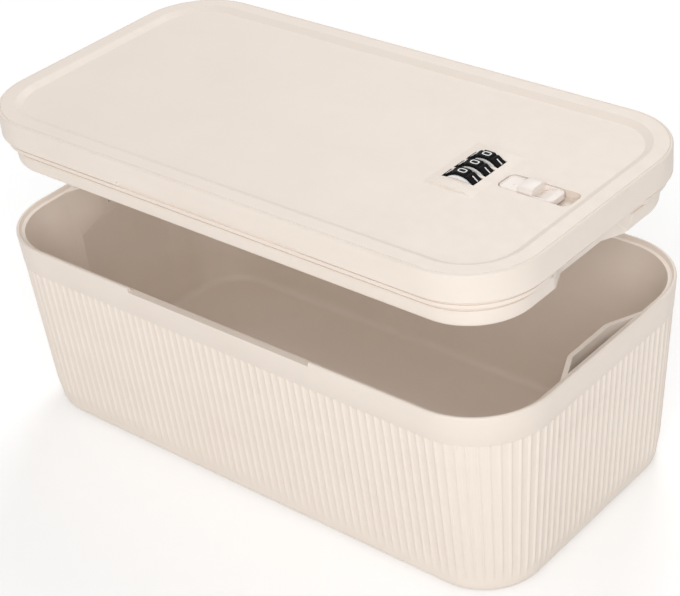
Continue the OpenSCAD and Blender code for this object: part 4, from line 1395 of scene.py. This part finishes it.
@dataclass(frozen=True)
class Studio:
    """Pale floor, pale surroundings and soft lamps.

    Attributes:
        floor_colour: Colour of the floor.
        floor_glow: White added to the floor where it is seen.
        sky: Strength of the light from all round.
        lamps: Place, power in watts and size in metres of each soft lamp, which all point at the part.
    """

    floor_colour: Trio = (0.93, 0.93, 0.93)
    floor_glow: float = 0.18
    sky: float = 0.52
    lamps: tuple[tuple[Trio, float, float], ...] = (
        ((-0.5, 1.0, 1.3), 7.6, 0.7),
        ((0.78, -1.08, 0.84), 10.8, 0.9),
    )

    def build(self) -> None:
        """Builds the floor, the world and the lamps."""
        bm = bmesh.new()
        bmesh.ops.create_grid(bm, x_segments=1, y_segments=1, size=6.0)
        floor = new_object("floor", bm)
        graph = Graph("floor_paper")
        graph.shader.inputs["Base Color"].default_value = (*self.floor_colour, 1)
        graph.shader.inputs["Roughness"].default_value = 0.9
        self.whiten(graph)
        floor.data.materials.append(graph.material)
        self.build_world()
        for number, (place, power, size) in enumerate(self.lamps):
            lamp = bpy.data.lights.new(f"lamp_{number}", "AREA")
            lamp.energy = power
            lamp.size = size
            holder = add_object(lamp.name, lamp)
            holder.location = place
            holder.rotation_euler = (-Vector(place)).to_track_quat("-Z", "Y").to_euler()

    def whiten(self, graph: Graph) -> None:
        """Adds to the floor, for the rays that see it, the white that its own shade lacks."""
        glow = graph.add("ShaderNodeEmission")
        glow.inputs["Color"].default_value = (1, 1, 1, 1)
        share = graph.add("ShaderNodeMath", operation="MULTIPLY")
        share.inputs[1].default_value = self.floor_glow
        graph.link(direct_view(graph.tree), share.inputs[0])
        graph.link(share.outputs["Value"], glow.inputs["Strength"])
        both = graph.add("ShaderNodeAddShader")
        graph.link(graph.shader.outputs["BSDF"], both.inputs[0])
        graph.link(glow.outputs["Emission"], both.inputs[1])
        output = next(n for n in graph.tree.nodes if n.type == "OUTPUT_MATERIAL")
        graph.link(both.outputs["Shader"], output.inputs["Surface"])

    def build_world(self) -> None:
        """Lights the part from all round, and shows white to the camera."""
        world = bpy.data.worlds.new("surroundings")
        bpy.context.scene.world = world
        world.use_nodes = True
        tree = world.node_tree
        background = next(n for n in tree.nodes if n.type == "BACKGROUND")
        background.inputs["Color"].default_value = (1, 1, 1, 1)
        background.inputs["Strength"].default_value = self.sky
        strength = tree.nodes.new("ShaderNodeMapRange")
        strength.inputs["To Min"].default_value = self.sky
        strength.inputs["To Max"].default_value = 1.0
        tree.links.new(direct_view(tree), strength.inputs["Value"])
        tree.links.new(strength.outputs["Result"], background.inputs["Strength"])


@dataclass(frozen=True)
class PhotoCamera:
    """The photograph's viewpoint.

    Attributes:
        azimuth: Turn of the view to the left of +Y, in degrees.
        elevation: Angle of the view below the level, in degrees.
        roll: Turn about the view, in degrees.
        distance: Distance to the target in metres.
        lens: Focal length in millimetres.
        target: The point looked at, in metres.
    """

    azimuth: float = 42.53
    elevation: float = 32.32
    roll: float = -5.35
    distance: float = 0.9475
    lens: float = 100.48
    target: Trio = (-0.0186, 0.02275, 0.0530)

    def build(self) -> None:
        """Adds the camera and makes it the scene's."""
        turn, tilt, roll = (math.radians(a) for a in (self.azimuth, self.elevation, self.roll))
        look = Vector((-math.sin(turn) * math.cos(tilt), math.cos(turn) * math.cos(tilt), -math.sin(tilt)))
        right = Vector((math.cos(turn), math.sin(turn), 0))
        up = right.cross(look)
        side = right * math.cos(roll) + up * math.sin(roll)
        top = up * math.cos(roll) - right * math.sin(roll)
        place = Vector(self.target) - look * self.distance
        camera = add_object("photo_camera", bpy.data.cameras.new("photo_camera"))
        camera.data.lens = self.lens
        camera.data.sensor_width = 36.0
        camera.data.sensor_fit = "HORIZONTAL"
        camera.data.clip_start = 0.05
        camera.matrix_world = Matrix.Translation(place) @ Matrix((side, top, -look)).transposed().to_4x4()
        bpy.context.scene.camera = camera


def main() -> None:
    """Builds the pieces in order, then the studio and the camera."""
    logging.basicConfig(level=logging.INFO, format="%(message)s")
    bpy.context.scene.view_settings.view_transform = "Standard"
    cream, inner, button, black, white, grey, steel, brass = (
        finish.material() for finish in
        (CREAM, CREAM_INSIDE, BUTTON_CREAM, WHEEL_BLACK, DIGIT_WHITE, LOCK_GREY, STEEL, BRASS))
    dress_frame({"shell": cream, "inner_shell": inner, "wheel": black, "lock_frame": grey,
                 "steel": steel, "brass": brass})
    box = RibbedBox.from_frame()
    box.build(cream)
    lid = LidShells.from_frame()
    lid.build_cover(cream)
    lid.build_tray(box, cream)
    for wheel in NumberWheel.all_from_frame():
        wheel.build(black, white)
    SlideButton.from_frame().build(button)
    Studio().build()
    PhotoCamera().build()


if __name__ == "__main__":
    main()
